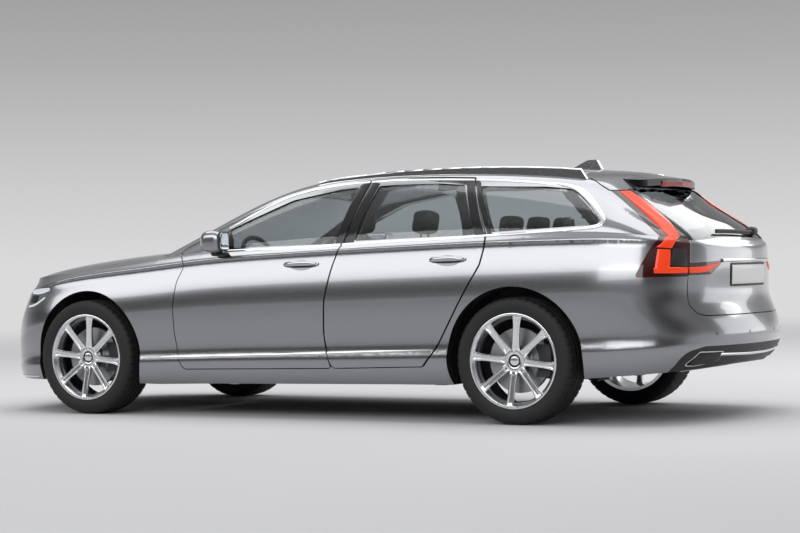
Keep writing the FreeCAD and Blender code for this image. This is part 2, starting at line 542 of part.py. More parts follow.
wing_leaves = [in_gap(front_door_outline, "xz", HALF - 80, HALF - 40,
                      box(FRONT - 690, FRONT - 650, 0, FAR, z, z + LEAF)) for z in (430, 800)]
wing_leaves.append(in_gap(bonnet_outline, "xy", 925, 945, box(FRONT - 470, FRONT - 400, 700, 760, 0, FAR)))
wing = big(wing.fuse(wing_leaves))
roof_leaf = box(GATE_X + SEAT_GAP, GATE_X + GAP + 4, 300, 360, 1380, 1398)
roof = big(roof.fuse([roof_leaf, mirrored(roof_leaf)]))
POST_GAP = size("post_gap")
post_space = shrunk(POST_GAP)
post_band = prism([(MIDDLE - 514, 1395, 0), (MIDDLE - 430, 1000, 60), (MIDDLE - 350, 800, 200), (MIDDLE - 330, 200, 0),
                   (MIDDLE - 210, 200, 0), (MIDDLE - 230, 800, 200), (MIDDLE - 290, 1000, 60), (MIDDLE - 374, 1400, 0)],
                  "xz", 300, FAR)
post = post_band.common(post_space).cut(shrunk(POST_GAP + size("post_wall")))
post = post.cut(box(-FAR, FAR, 0, FAR, 0, size("floor_top") + SEAT_GAP))
post_head = box(MIDDLE - 470, MIDDLE - 410, DOOR_Y - 46, DOOR_Y - GAP, 1330, 1420).common(cabin_outer)
post_foot = box(MIDDLE - 330, MIDDLE - 220, HALF - size("door_wall") - 30, HALF - size("door_wall") + 24,
                size("floor_top") + SEAT_GAP, 280)
pad = box(MIDDLE - 340, MIDDLE - 300, DOOR_Y, HALF - 115, 760, 800).common(shrunk(SEAT_GAP)).cut(post_space)
side = big(side.fuse([post, post_head, post_foot, pad]))
for side_name, place in (("left", lambda s: s), ("right", mirrored)):
    keep("door_front_" + side_name, place(front_door))
    keep("door_rear_" + side_name, place(rear_door))
    keep("door_glass_front_" + side_name, place(front_glass))
    keep("door_glass_rear_" + side_name, place(rear_glass))
    keep("front_wing_" + side_name, place(wing))
    keep("body_side_" + side_name, place(side))
keep("quarter_glass", both_sides(quarter_glass))
keep("roof_panel", roof)
keep("bonnet", bonnet)
keep("windscreen", screen)
keep("tailgate", tailgate)
keep("tailgate_glass", tail_glass)
keep("rear_bumper", rear_bumper)
keep("rear_valance", valance)
keep("front_bumper", front_bumper)
keep("grille", grille)
keep("headlamps", both_sides(front_lamp))
keep("tail_lamps", both_sides(rear_lamp))
keep("tailgate_lamps", both_sides(gate_lamp))
keep("scuttle", scuttle)


# Wheels: tyre, rim with spokes and brake disc
def revolved(profile, x, y, z):
    """Ring about the Y axis through x, z from a profile of (radius, offset) points round y."""
    points = [Vector(x, y + offset, z + radius) for radius, offset in profile]
    return Part.Face(Part.makePolygon(points + points[:1])).revolve(Vector(x, y, z), Vector(0, 1, 0), 360)


RIM, TYRE = size("rim_radius"), size("tyre_radius")
HALF_TREAD = size("tyre_width") / 2
TRACK = size("track_width") / 2
tyre_profile = [(RIM, -HALF_TREAD + 22), (RIM + 14, -HALF_TREAD + 8), (RIM + 45, -HALF_TREAD), (TYRE - 28, -HALF_TREAD + 4),
                (TYRE - 8, -HALF_TREAD + 16), (TYRE, -HALF_TREAD + 34), (TYRE, HALF_TREAD - 34),
                (TYRE - 8, HALF_TREAD - 16), (TYRE - 28, HALF_TREAD - 4), (RIM + 45, HALF_TREAD),
                (RIM + 14, HALF_TREAD - 8), (RIM, HALF_TREAD - 22)]
barrel_profile = [(RIM, -HALF_TREAD + 22), (RIM, HALF_TREAD - 22), (RIM + 11, HALF_TREAD - 11),
                  (RIM + 11, HALF_TREAD - 8), (RIM - 12, HALF_TREAD - 10), (RIM - 18, HALF_TREAD - 26),
                  (RIM - 16, -HALF_TREAD + 30), (RIM - 8, -HALF_TREAD + 8), (RIM + 11, -HALF_TREAD + 8),
                  (RIM + 11, -HALF_TREAD + 11)]
spoke_profile = [(size("bore_radius"), 38), (size("bore_radius"), 86), (62, 92), (RIM - 40, 106), (RIM - 13, 106),
                 (RIM - 13, 92), (RIM - 40, 78), (92, 50), (92, 38)]
disc_profile = [(size("bore_radius"), 14), (size("bore_radius"), 37.5), (84, 37.5), (84, 30),
                (size("disc_radius"), 30), (size("disc_radius"), 0), (78, 0), (78, 14)]


def wheel(x):
    """Rim with its spokes, at the left end of an axle."""
    spoke_ring = revolved(spoke_profile, x, TRACK, WHEEL_Z)
    pitch = 2 * math.pi / size("spoke_count")
    gaps = []
    for index in range(int(size("spoke_count"))):
        angle = (index + 0.5) * pitch
        half_open = pitch / 2
        inner_r, outer_r = 112.0, RIM - 17
        side_angle = half_open - math.asin(size("spoke_width") / 2 / outer_r)
        inner_angle = half_open * 0.42
        corners = [(x + inner_r * math.cos(angle - inner_angle), WHEEL_Z + inner_r * math.sin(angle - inner_angle), 14),
                   (x + outer_r * math.cos(angle - side_angle), WHEEL_Z + outer_r * math.sin(angle - side_angle), 14),
                   (x + (outer_r + 8) * math.cos(angle), WHEEL_Z + (outer_r + 8) * math.sin(angle), 200),
                   (x + outer_r * math.cos(angle + side_angle), WHEEL_Z + outer_r * math.sin(angle + side_angle), 14),
                   (x + inner_r * math.cos(angle + inner_angle), WHEEL_Z + inner_r * math.sin(angle + inner_angle), 14)]
        gaps.append(prism(corners, "xz", TRACK, TRACK + 200))
    spoked = spoke_ring.cut(gaps)
    return revolved(barrel_profile, x, TRACK, WHEEL_Z).fuse(spoked)


KING_Y = TRACK - 65
LEG_Y = TRACK - 258


def stub(x):
    """Upright of a wheel with its stub shaft and caliper, left side."""
    upright = box(x - 45, x + 45, TRACK - 90, TRACK - 40, WHEEL_Z - 110, WHEEL_Z + 110)
    shaft = cylinder_y(x, WHEEL_Z, size("bore_radius") - size("shaft_clearance"), TRACK - 56, TRACK + 60)
    ring = cylinder_y(x, WHEEL_Z, size("disc_radius") + 26, TRACK - 22, TRACK + 44)
    ring = ring.cut(cylinder_y(x, WHEEL_Z, size("disc_radius") - 52, TRACK - 30, TRACK + 50))
    slot = cylinder_y(x, WHEEL_Z, size("disc_radius") + 4, TRACK - 4, TRACK + 34)
    caliper = ring.cut(slot).common(box(x - 200, x - 110, TRACK - 30, TRACK + 50, WHEEL_Z - 90, WHEEL_Z + 90))
    arm = box(x - 150, x - 40, TRACK - 60, TRACK - 22, WHEEL_Z - 40, WHEEL_Z + 40)
    return upright.fuse([shaft, arm, caliper])


def lower_arm(x, inner_y, height, seat):
    """Arm from a beam to the foot of an upright, with a spring leg up to the wheelhouse, left side."""
    plan = [(x - 150, inner_y, 10), (x - 34, KING_Y - 20, 30), (x - 24, KING_Y + 24, 20), (x + 24, KING_Y + 24, 20),
            (x + 34, KING_Y - 20, 30), (x + 150, inner_y, 10)]
    arm = prism(plan, "xy", height, height + 22)
    joint = Part.makeCylinder(18, seat - height - 0.3, Vector(x, KING_Y, height))
    leg = Part.makeCylinder(34, WHEEL_Z + HOUSE - size("house_wall") - 8 - height - 20, Vector(x, LEG_Y, height + 20))
    return arm.fuse([joint, leg])


front_upright = stub(FRONT)
rear_upright = stub(REAR)
for end, x in (("front", FRONT), ("rear", REAR)):
    for side_name, place in (("left", lambda s: s), ("right", mirrored)):
        keep("tyre_%s_%s" % (end, side_name), place(revolved(tyre_profile, x, TRACK, WHEEL_Z)))
        keep("wheel_%s_%s" % (end, side_name), place(wheel(x)))
        keep("brake_disc_%s_%s" % (end, side_name), place(revolved(disc_profile, x, TRACK, WHEEL_Z)))
for side_name, place in (("left", lambda s: s), ("right", mirrored)):
    keep("knuckle_" + side_name, place(front_upright))

# Underbody: floor with tunnel, bulkhead, wheelhouses and the axle frames below it
FLOOR = size("floor_top")
SEAT_GAP = size("seat_gap")
cavity = closed_by_planes(side_surface(size("door_wall") + SEAT_GAP)).common(deck_solid(size("frame_wall") + SEAT_GAP))
REAR_FLOOR = FLOOR + size("rear_step")
HEEL_X = REAR + 342


def house(x, inner_y):
    """Shell over a wheel and the room inside it, left side."""
    outer_house = cylinder_y(x, WHEEL_Z, HOUSE, inner_y - size("house_wall"), HALF)
    inner_house = cylinder_y(x, WHEEL_Z, HOUSE - size("house_wall"), inner_y, HALF)
    return outer_house, inner_house


def tunnel_shape(grow, start, end):
    """Arch of the centre tunnel."""
    foot = FLOOR - size("floor_wall")
    return prism([(-150 - grow, foot - 20, 10), (-120 - grow, FLOOR + 110 + grow, 50),
                  (120 + grow, FLOOR + 110 + grow, 50), (150 + grow, foot - 20, 10)], "yz", start, end)


front_outer, front_hollow = house(FRONT, size("front_house_inner"))
rear_outer, rear_hollow = house(REAR, size("rear_house_inner"))
BULKHEAD_X = FRONT - 470
slab = box(HEEL_X, BULKHEAD_X + 24, -FAR, FAR, FLOOR - size("floor_wall"), FLOOR)
rear_slab = box(TAIL, HEEL_X + 12, -FAR, FAR, REAR_FLOOR - size("floor_wall"), REAR_FLOOR)
heel = box(HEEL_X, HEEL_X + 12, -FAR, FAR, FLOOR - size("floor_wall"), REAR_FLOOR)
bulkhead = box(BULKHEAD_X, BULKHEAD_X + 24, -FAR, FAR, FLOOR - size("floor_wall"), 950)
RAIL_Y = size("front_house_inner") - size("house_wall")
front_rail = box(BULKHEAD_X, NOSE, RAIL_Y - 60, RAIL_Y, FLOOR - size("floor_wall"), FLOOR + 80)
houses = front_outer.fuse([rear_outer, mirrored(front_outer), mirrored(rear_outer)])
houses = houses.common(box(-FAR, FAR, -FAR, FAR, FLOOR - size("floor_wall"), 950))
hollows = front_hollow.fuse([rear_hollow, mirrored(front_hollow), mirrored(rear_hollow)])
floor = slab.fuse([rear_slab, heel, bulkhead, tunnel_shape(0, HEEL_X, BULKHEAD_X + 24), houses, front_rail,
                   mirrored(front_rail)])
arm_hole = box(REAR - 75, REAR + 75, -620, 620, REAR_FLOOR - size("floor_wall") - 96, REAR_FLOOR - size("floor_wall") - 50)
floor = floor.cut(hollows).cut(arm_hole).cut(tunnel_shape(-12, HEEL_X - 10, BULKHEAD_X + 40)).common(cavity)
BEAM_TOP = FLOOR - size("floor_wall")
JACK = size("jack_side")
pads = [box(x, x + JACK, size("jack_y"), size("jack_y") + JACK, BEAM_TOP - size("jack_drop"), BEAM_TOP)
        for x in (FRONT - 640, REAR + 520)]
keep("floor_pan", big(floor).fuse(pads + [mirrored(pad) for pad in pads]))
front_beam = box(FRONT - 200, FRONT + 200, -RAIL_Y, RAIL_Y, BEAM_TOP - 44, BEAM_TOP)
engine = box(FRONT - 360, FRONT - 360 + size("engine_length"), -size("engine_width") / 2, size("engine_width") / 2,
             BEAM_TOP, BEAM_TOP + size("engine_height"))
keep("engine_block", engine)
UPRIGHT_FOOT = WHEEL_Z - 110
front_arm = lower_arm(FRONT, RAIL_Y - 20, BEAM_TOP - 44, UPRIGHT_FOOT)
rear_beam = box(REAR - 230, REAR + 230, -540, 540, REAR_FLOOR - size("floor_wall") - 90, REAR_FLOOR - size("floor_wall"))
rear_beam = rear_beam.cut(hollows)
rear_plan = [(REAR - 60, 430, 10), (REAR - 40, TRACK - 89, 20), (REAR + 40, TRACK - 89, 20), (REAR + 60, 430, 10)]
rear_arm = prism(rear_plan, "xy", REAR_FLOOR - size("floor_wall") - 90, REAR_FLOOR - size("floor_wall") - 60)
keep("front_axle", front_beam.fuse([front_arm, mirrored(front_arm)]))
keep("rear_axle", rear_beam.fuse([rear_arm, mirrored(rear_arm), rear_upright, mirrored(rear_upright)]))

# Cabin
def seat(y):
    """One front seat: cushion, back and headrest."""
    half = size("seat_width") / 2
    x = size("seat_front")
    cushion = prism([(x, 330, 30), (x, 500, 50), (x - 460, 480, 30), (x - 460, 300, 20)], "xz", y - half, y + half)
    back = prism([(x - 440, 440, 30), (x - 390, 560, 80), (x - 590, 1060, 60), (x - 700, 1050, 50), (x - 560, 430, 30)],
                 "xz", y - half + 20, y + half - 20)
    head = prism([(x - 600, 1090, 30), (x - 640, 1240, 40), (x - 720, 1240, 40), (x - 700, 1080, 30)], "xz", y - 130, y + 130)
    neck = box(x - 672, x - 656, y - 8, y + 8, 1020, 1120)
    rails = [box(x - 440, x - 20, y + side * 200 - 15, y + side * 200 + 15, FLOOR, 340) for side in (-1, 1)]
    return cushion.fuse([back, head, neck] + rails)


keep("front_seats", both_sides(seat(size("seat_side"))))
bench_x = REAR + 880
bench = prism([(bench_x, FLOOR, 10), (bench_x, 510, 50), (bench_x - 470, 490, 30), (bench_x - 470, FLOOR, 10)],
              "xz", -588, 588)
bench = bench.cut(tunnel_shape(SEAT_GAP, HEEL_X, BULKHEAD_X))
bench_back = prism([(bench_x - 450, 440, 30), (bench_x - 420, 560, 80), (bench_x - 570, 1080, 60), (bench_x - 660, 1070, 40),
                    (bench_x - 560, REAR_FLOOR, 10), (bench_x - 470, REAR_FLOOR, 10)], "xz", -588, 588)
keep("rear_bench", bench.fuse(bench_back))
dash = box(-FAR, FAR, 145 - HALF, HALF - 145, 0, FAR).common(cavity).common(prism([(FRONT - 500, 640, 40), (FRONT - 500, 930, 30), (FRONT - 640, 990, 60), (FRONT - 800, 960, 60),
                            (FRONT - 820, 860, 60), (FRONT - 740, 640, 60)], "xz", -FAR, FAR))
column_top = Vector(FRONT - 960, size("steer_side"), 905)
lean = Vector(-1, 0, 0.42)
lean.normalize()
ring = Part.makeTorus(size("wheel_rim_radius"), size("wheel_grip"), column_top, lean)
boss = Part.makeCylinder(60, 40, column_top - lean * 46, lean)
column = Part.makeCylinder(20, 140, column_top - lean * 180, lean)
GRIP = size("wheel_rim_radius")
arms = Part.makeBox(36, 2 * GRIP - 10, 14, Vector(-18, 5 - GRIP, -20)).fuse(
    Part.makeBox(GRIP - 5, 44, 14, Vector(5 - GRIP, -22, -20)))
arms.Placement = FreeCAD.Placement(column_top, Rotation(Vector(0, 0, 1), lean))
sleeve = Part.makeCylinder(20 + SEAT_GAP, 160, column_top - lean * 200, lean)
keep("dashboard", big(dash.cut(sleeve)))
keep("steering_wheel", ring.fuse([boss, column, arms]))
load_floor = box(TAIL, REAR + 285, -500, 500, 600, 622)
load_legs = [box(TAIL + 200, REAR + 200, y - 10, y + 10, REAR_FLOOR, 610) for y in (-490, 490)]
load_floor = load_floor.fuse(load_legs).common(cavity)
keep("load_floor", load_floor)

# Outside fittings
RAIL_TOP_X, RAIL_JOIN_X = MIDDLE - 950, MIDDLE - 260
RAIL_LONG, RAIL_SHORT = size("rail_long_bend"), size("rail_short_bend")
RAIL_Z = size("rail_height")


def rail_point(x):
    """Point of the rail's centre line: a long arc over the roof, then a tighter one down to the front."""
    rise = RAIL_LONG - math.sqrt(RAIL_LONG ** 2 - (min(x, RAIL_JOIN_X) - RAIL_TOP_X) ** 2)
    if x > RAIL_JOIN_X:
        lean = math.asin((RAIL_JOIN_X - RAIL_TOP_X) / RAIL_LONG)
        start_x = RAIL_JOIN_X - RAIL_SHORT * math.sin(lean)
        rise += RAIL_SHORT * math.cos(lean) - math.sqrt(RAIL_SHORT ** 2 - (x - start_x) ** 2)
    return Vector(x, size("rail_side"), RAIL_Z - rise)


rear_end, front_end = REAR - 280, FRONT - 1520
RAIL_HALF, RAIL_DEEP = Vector(0, size("rail_width") / 2, 0), Vector(0, 0, -60)
rear_arc = Part.Arc(rail_point(rear_end), rail_point(RAIL_TOP_X), rail_point(RAIL_JOIN_X)).toShape()
front_arc = Part.Arc(rail_point(RAIL_JOIN_X), rail_point((RAIL_JOIN_X + front_end) / 2), rail_point(front_end)).toShape()
back_end = Part.makeLine(rail_point(rear_end) + RAIL_DEEP + Vector(-40, 0, 0), rail_point(rear_end))
front_edge = Part.makeLine(rail_point(front_end), rail_point(front_end) + RAIL_DEEP)
under = Part.makeLine(front_edge.Vertexes[1].Point, back_end.Vertexes[0].Point)
profile = Part.Face(Part.Wire([rear_arc, front_arc, front_edge, under, back_end]))
profile.translate(RAIL_HALF * -1)
rail = profile.extrude(RAIL_HALF * 2)
crests = [edge for edge in rail.Edges if edge.Curve.TypeId == "Part::GeomCircle"]
rail = rail.makeFillet(size("rail_width") / 3, crests)
rail = big(rail.cut(cabin_outer), 1000)
keep("roof_rails", both_sides(rail))

fin = prism([(REAR + 39, ROOF - 60, 0), (REAR + 36, ROOF - 26, 20), (REAR - 60, ROOF + 20, 60), (REAR - 118, ROOF + 22, 10),
             (REAR - 151, ROOF - 36, 10), (REAR - 150, ROOF - 70, 0)], "xz", -18, 18)
keep("antenna_fin", big(fin.cut(cabin_outer), 1000))
MUFFLER_FRONT, MUFFLER_FOOT = REAR - 450, 270
pipe_z = size("pipe_height")
pipe = Part.makeCylinder(size("exhaust_radius"), 2100, Vector(MUFFLER_FRONT, -60, pipe_z), Vector(1, 0, 0))
muffler = prism([(-420, MUFFLER_FOOT, 60), (-420, REAR_FLOOR - size("floor_wall"), 20),
                 (420, REAR_FLOOR - size("floor_wall"), 20), (420, MUFFLER_FOOT, 60)], "yz", REAR - 760, MUFFLER_FRONT)
keep("exhaust", pipe.fuse(muffler))
TIP_BACK = TAIL + 70
tip_outer = prism(TIP, "yz", TIP_BACK, TIP_BACK + size("tip_depth"), -SEAT_GAP)
tip = tip_outer.cut(prism(TIP, "yz", TIP_BACK - 5, TIP_BACK + size("tip_depth") - 6, -SEAT_GAP - size("tip_wall")))
keep("exhaust_tips", both_sides(big(tip.common(lower_outer), 1000)))



def mirror_left():
    """Door mirror with its foot."""
    head = prism([(FRONT - 936, HALF + 24, 40), (FRONT - 988, HALF + 92, 60), (FRONT - 1085, HALF + 96, 30),
                  (FRONT - 1095, HALF - 26, 30), (FRONT - 1010, HALF - 36, 40)], "xy", 978, 1112)
    head = head.makeFillet(26, [edge for edge in head.Edges if edge.BoundBox.ZLength < 1])
    foot = prism([(FRONT - 955, HALF - 70, 20), (FRONT - 985, HALF + 36, 20), (FRONT - 1072, HALF + 36, 20),
                  (FRONT - 1072, HALF - 70, 20)], "xy", 940, 990)
    return head.fuse(foot)


mirror = mirror_left().cut(front_door).cut(front_glass)
for side_name, place in (("left", lambda s: s), ("right", mirrored)):
    keep("mirror_" + side_name, place(big(mirror)))

doc.recompute()
for piece in nodes:
    if piece.State and ("Invalid" in piece.State or "Error" in piece.State):
        raise ValueError("not built: " + piece.Label)
    if piece.Shape.isNull() or not piece.Shape.isValid():
        raise ValueError("not sound: " + piece.Label)
os.makedirs("parts", exist_ok=True)
for piece in nodes:
    piece.Shape.exportStep("parts/%s.step" % piece.Label)
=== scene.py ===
"""Looks of the silver station wagon: finishes, dressed panels, wheels, lamps, trim, cabin and studio."""
import json
import logging
import math
from dataclasses import dataclass, replace
from enum import Enum
from typing import Iterable, Sequence

import bpy
import numpy as np
from mathutils import Matrix, Vector


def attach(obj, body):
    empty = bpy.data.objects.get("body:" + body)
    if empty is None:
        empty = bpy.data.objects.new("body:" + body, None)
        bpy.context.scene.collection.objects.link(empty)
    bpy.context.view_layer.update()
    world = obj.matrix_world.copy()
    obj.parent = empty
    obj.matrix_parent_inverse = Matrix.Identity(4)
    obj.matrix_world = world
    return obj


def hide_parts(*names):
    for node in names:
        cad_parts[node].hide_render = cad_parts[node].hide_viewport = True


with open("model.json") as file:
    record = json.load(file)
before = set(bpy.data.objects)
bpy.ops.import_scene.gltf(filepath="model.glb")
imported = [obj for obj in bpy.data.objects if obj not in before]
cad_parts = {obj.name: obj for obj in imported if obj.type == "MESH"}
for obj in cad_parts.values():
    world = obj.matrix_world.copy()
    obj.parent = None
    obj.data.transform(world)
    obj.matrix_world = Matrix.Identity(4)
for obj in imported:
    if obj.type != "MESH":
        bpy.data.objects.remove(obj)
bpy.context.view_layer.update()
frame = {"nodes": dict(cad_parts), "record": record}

LOG = logging.getLogger("station_wagon")
Array = np.ndarray
Stations = Sequence[tuple[float, float]]
Outline = Sequence[tuple[float, float]]

# Driving sizes, in metres, as in the record
LENGTH, HALF = 4.936, 0.940
NOSE, TAIL = LENGTH / 2, -LENGTH / 2
FRONT, REAR = 1.592, -1.349
MIDDLE = (FRONT + REAR) / 2
TRACK, WHEEL_Z = 0.814, 0.352


class Side(Enum):
    """Side of the car, with the sign of its Y coordinates."""

    LEFT = 1
    RIGHT = -1

    @property
    def word(self) -> str:
        """Lower-case name of the side."""
        return self.name.lower()


# Surfaces of the body
def along(stations: Stations, x: Array | float) -> Array:
    """Straight runs between stations.

    Args:
        stations: (x, value) pairs in any order.
        x: places to read.

    Returns:
        The value at each place.
    """
    ordered = sorted(stations)
    return np.interp(x, [s[0] for s in ordered], [s[1] for s in ordered])


def basis(t: Array, count: int, closed: bool) -> tuple[Array, Array, Array]:
    """The four poles that each parameter touches, their cubic weights and the weights' slopes.

    On a closed net the weights are the uniform cubic polynomials of the parameter's fraction. On an open net the
    end knots are fourfold and the weights come from the Cox and de Boor recurrence.

    Args:
        t: parameters, from 0 to count (closed) or count - 3 (open).
        count: number of poles.
        closed: whether the net closes on itself.

    Returns:
        Pole numbers, weights and slopes, with one row of four for each parameter.
    """
    step = np.arange(4)[None]
    if closed:
        t = np.mod(t, count)
        cell = np.minimum(t.astype(int), count - 1)
        f = t - cell
        weights = np.stack([(1 - f) ** 3, 3 * f**3 - 6 * f**2 + 4, -3 * f**3 + 3 * f**2 + 3 * f + 1, f**3], 1) / 6
        slopes = np.stack([-3 * (1 - f) ** 2, 9 * f**2 - 12 * f, -9 * f**2 + 6 * f + 3, 3 * f**2], 1) / 6
        return (cell[:, None] + step) % count, weights, slopes
    last = count - 3
    t = np.clip(t, 0, last - 1e-9)
    cell = t.astype(int)
    knots = np.concatenate([np.zeros(3), np.arange(last + 1), np.full(3, last)])
    level = np.zeros((t.size, 4))
    level[:, 3] = 1.0
    for degree in range(1, 4):
        lower = level
        first = cell[:, None] + step
        left, right = knots[first], knots[np.minimum(first + degree + 1, len(knots) - 1)]
        left_end = knots[np.minimum(first + degree, len(knots) - 1)]
        right_start = knots[np.minimum(first + 1, len(knots) - 1)]
        rise = np.divide(t[:, None] - left, left_end - left, out=np.zeros_like(left), where=left_end > left)
        fall = np.divide(right - t[:, None], right - right_start, out=np.zeros_like(left), where=right > right_start)
        level = rise * lower + fall * np.concatenate([lower[:, 1:], np.zeros((t.size, 1))], 1)
    first = cell[:, None] + step
    after = np.minimum(first + 4, len(knots) - 1)
    span, next_span = knots[first + 3] - knots[first], knots[after] - knots[first + 1]
    one = np.divide(3.0, span, out=np.zeros_like(level), where=span > 0)
    two = np.divide(3.0, next_span, out=np.zeros_like(level), where=next_span > 0)
    slopes = one * lower - two * np.concatenate([lower[:, 1:], np.zeros((t.size, 1))], 1)
    return first, level, slopes


@dataclass
class Skin:
    """Cubic surface on a net of control points, as the body's envelopes are."""

    poles: Array
    closed: bool = False
    steps: int = 3
    stride: float = 0.6
    far: float = 0.16
    batch: int = 4000

    def at(self, u: Array, v: Array) -> tuple[Array, Array]:
        """Points and unit normals of the surface; the two runs are kept for the searches.

        The point is the sum of the sixteen near poles with the products of their weights, and the normal is the
        cross product of the two runs.

        Args:
            u: parameters across the rows.
            v: parameters along a row.

        Returns:
            The points and the unit normals.
        """
        nu, bu, du = basis(u, self.poles.shape[0], self.closed)
        nv, bv, dv = basis(v, self.poles.shape[1], False)
        near = self.poles[nu[:, :, None], nv[:, None, :]]
        across, slope = np.einsum("nj,nijk->nik", bv, near), np.einsum("nj,nijk->nik", dv, near)
        self.run_u = np.einsum("ni,nik->nk", du, across)
        self.run_v = np.einsum("ni,nik->nk", bu, slope)
        normal = np.cross(self.run_u, self.run_v)
        normal /= np.linalg.norm(normal, axis=1, keepdims=True) + 1e-12
        return np.einsum("ni,nik->nk", bu, across), normal

    def reach(self) -> tuple[float, float]:
        """Largest parameters of the two directions."""
        rows, columns = self.poles.shape[:2]
        return float(rows if self.closed else rows - 3), float(columns - 3)

    def coarse(self) -> tuple[Array, Array, Array]:
        """Parameters and points of a coarse grid."""
        u_end, v_end = self.reach()
        uu, vv = np.meshgrid(np.linspace(0, u_end, int(u_end * self.steps)),
                             np.linspace(0, v_end, int(v_end * self.steps)), indexing="ij")
        points, _ = self.at(uu.ravel(), vv.ravel())
        return uu.ravel(), vv.ravel(), points

    def step(self, u: Array, v: Array, du: Array, dv: Array) -> tuple[Array, Array]:
        """Parameters after a limited step, kept on the surface.

        Args:
            u: parameters across the rows.
            v: parameters along a row.
            du: wanted steps of u.
            dv: wanted steps of v.

        Returns:
            The new u and v.
        """
        u_end, v_end = self.reach()
        u = u + np.clip(du, -self.stride, self.stride)
        v = np.clip(v + np.clip(dv, -self.stride, self.stride), 0, v_end)
        return (u if self.closed else np.clip(u, 0, u_end)), v

    def nearest(self, points: Array) -> tuple[Array, Array]:
        """Distance to the surface and its normal at the foot of each point.

        The nearest point of a coarse grid gives the first parameters, and Gauss-Newton steps refine them.

        Args:
            points: places, one row each.

        Returns:
            The distances and the unit normals.
        """
        uu, vv, grid = self.coarse()
        squares = (grid**2).sum(1)
        first, away = np.zeros(len(points), int), np.zeros(len(points))
        for part in np.array_split(np.arange(len(points)), max(1, len(points) // self.batch)):
            table = squares[None] - 2 * points[part] @ grid.T
            first[part] = table.argmin(1)
            away[part] = np.linalg.norm(points[part] - grid[first[part]], axis=1)
        near = away < self.far
        distance, normals = np.full(len(points), 9.0), np.tile([0.0, 0.0, 1.0], (len(points), 1))
        if not near.any():
            return distance, normals
        u, v, target = uu[first[near]], vv[first[near]], points[near]
        for _ in range(6):
            foot, _ = self.at(u, v)
            gap = target - foot
            a, b, c = (self.run_u**2).sum(1), (self.run_u * self.run_v).sum(1), (self.run_v**2).sum(1)
            p, q = (self.run_u * gap).sum(1), (self.run_v * gap).sum(1)
            det = a * c - b * b + 1e-12
            u, v = self.step(u, v, (c * p - b * q) / det, (a * q - b * p) / det)
        foot, normal = self.at(u, v)
        distance[near] = np.linalg.norm(target - foot, axis=1)
        normals[near] = normal
        return distance, normals

    def seek(self, flat: Array, a: int, b: int, depth: int, sign: int) -> tuple[Array, Array, Array]:
        """Points of the surface with two given coordinates, on one half of the third.

        Args:
            flat: the two coordinates, one row for each point.
            a: axis of the first coordinate.
            b: axis of the second.
            depth: axis of the third.
            sign: half in which the points lie.

        Returns:
            The points, the normals and how far each misses its coordinates.
        """
        uu, vv, grid = self.coarse()
        half = sign * grid[:, depth] > -0.02
        uu, vv, plane = uu[half], vv[half], grid[half][:, [a, b]]
        first = ((plane**2).sum(1)[None] - 2 * flat @ plane.T).argmin(1)
        u, v = uu[first], vv[first]
        for _ in range(12):
            foot, _ = self.at(u, v)
            gap = flat - foot[:, [a, b]]
            det = self.run_u[:, a] * self.run_v[:, b] - self.run_u[:, b] * self.run_v[:, a]
            det = np.where(np.abs(det) < 1e-7, 1e-7, det)
            u, v = self.step(u, v, (gap[:, 0] * self.run_v[:, b] - gap[:, 1] * self.run_v[:, a]) / det,
                             (gap[:, 1] * self.run_u[:, a] - gap[:, 0] * self.run_u[:, b]) / det)
        foot, normal = self.at(u, v)
        return foot, normal, np.linalg.norm(flat - foot[:, [a, b]], axis=1)


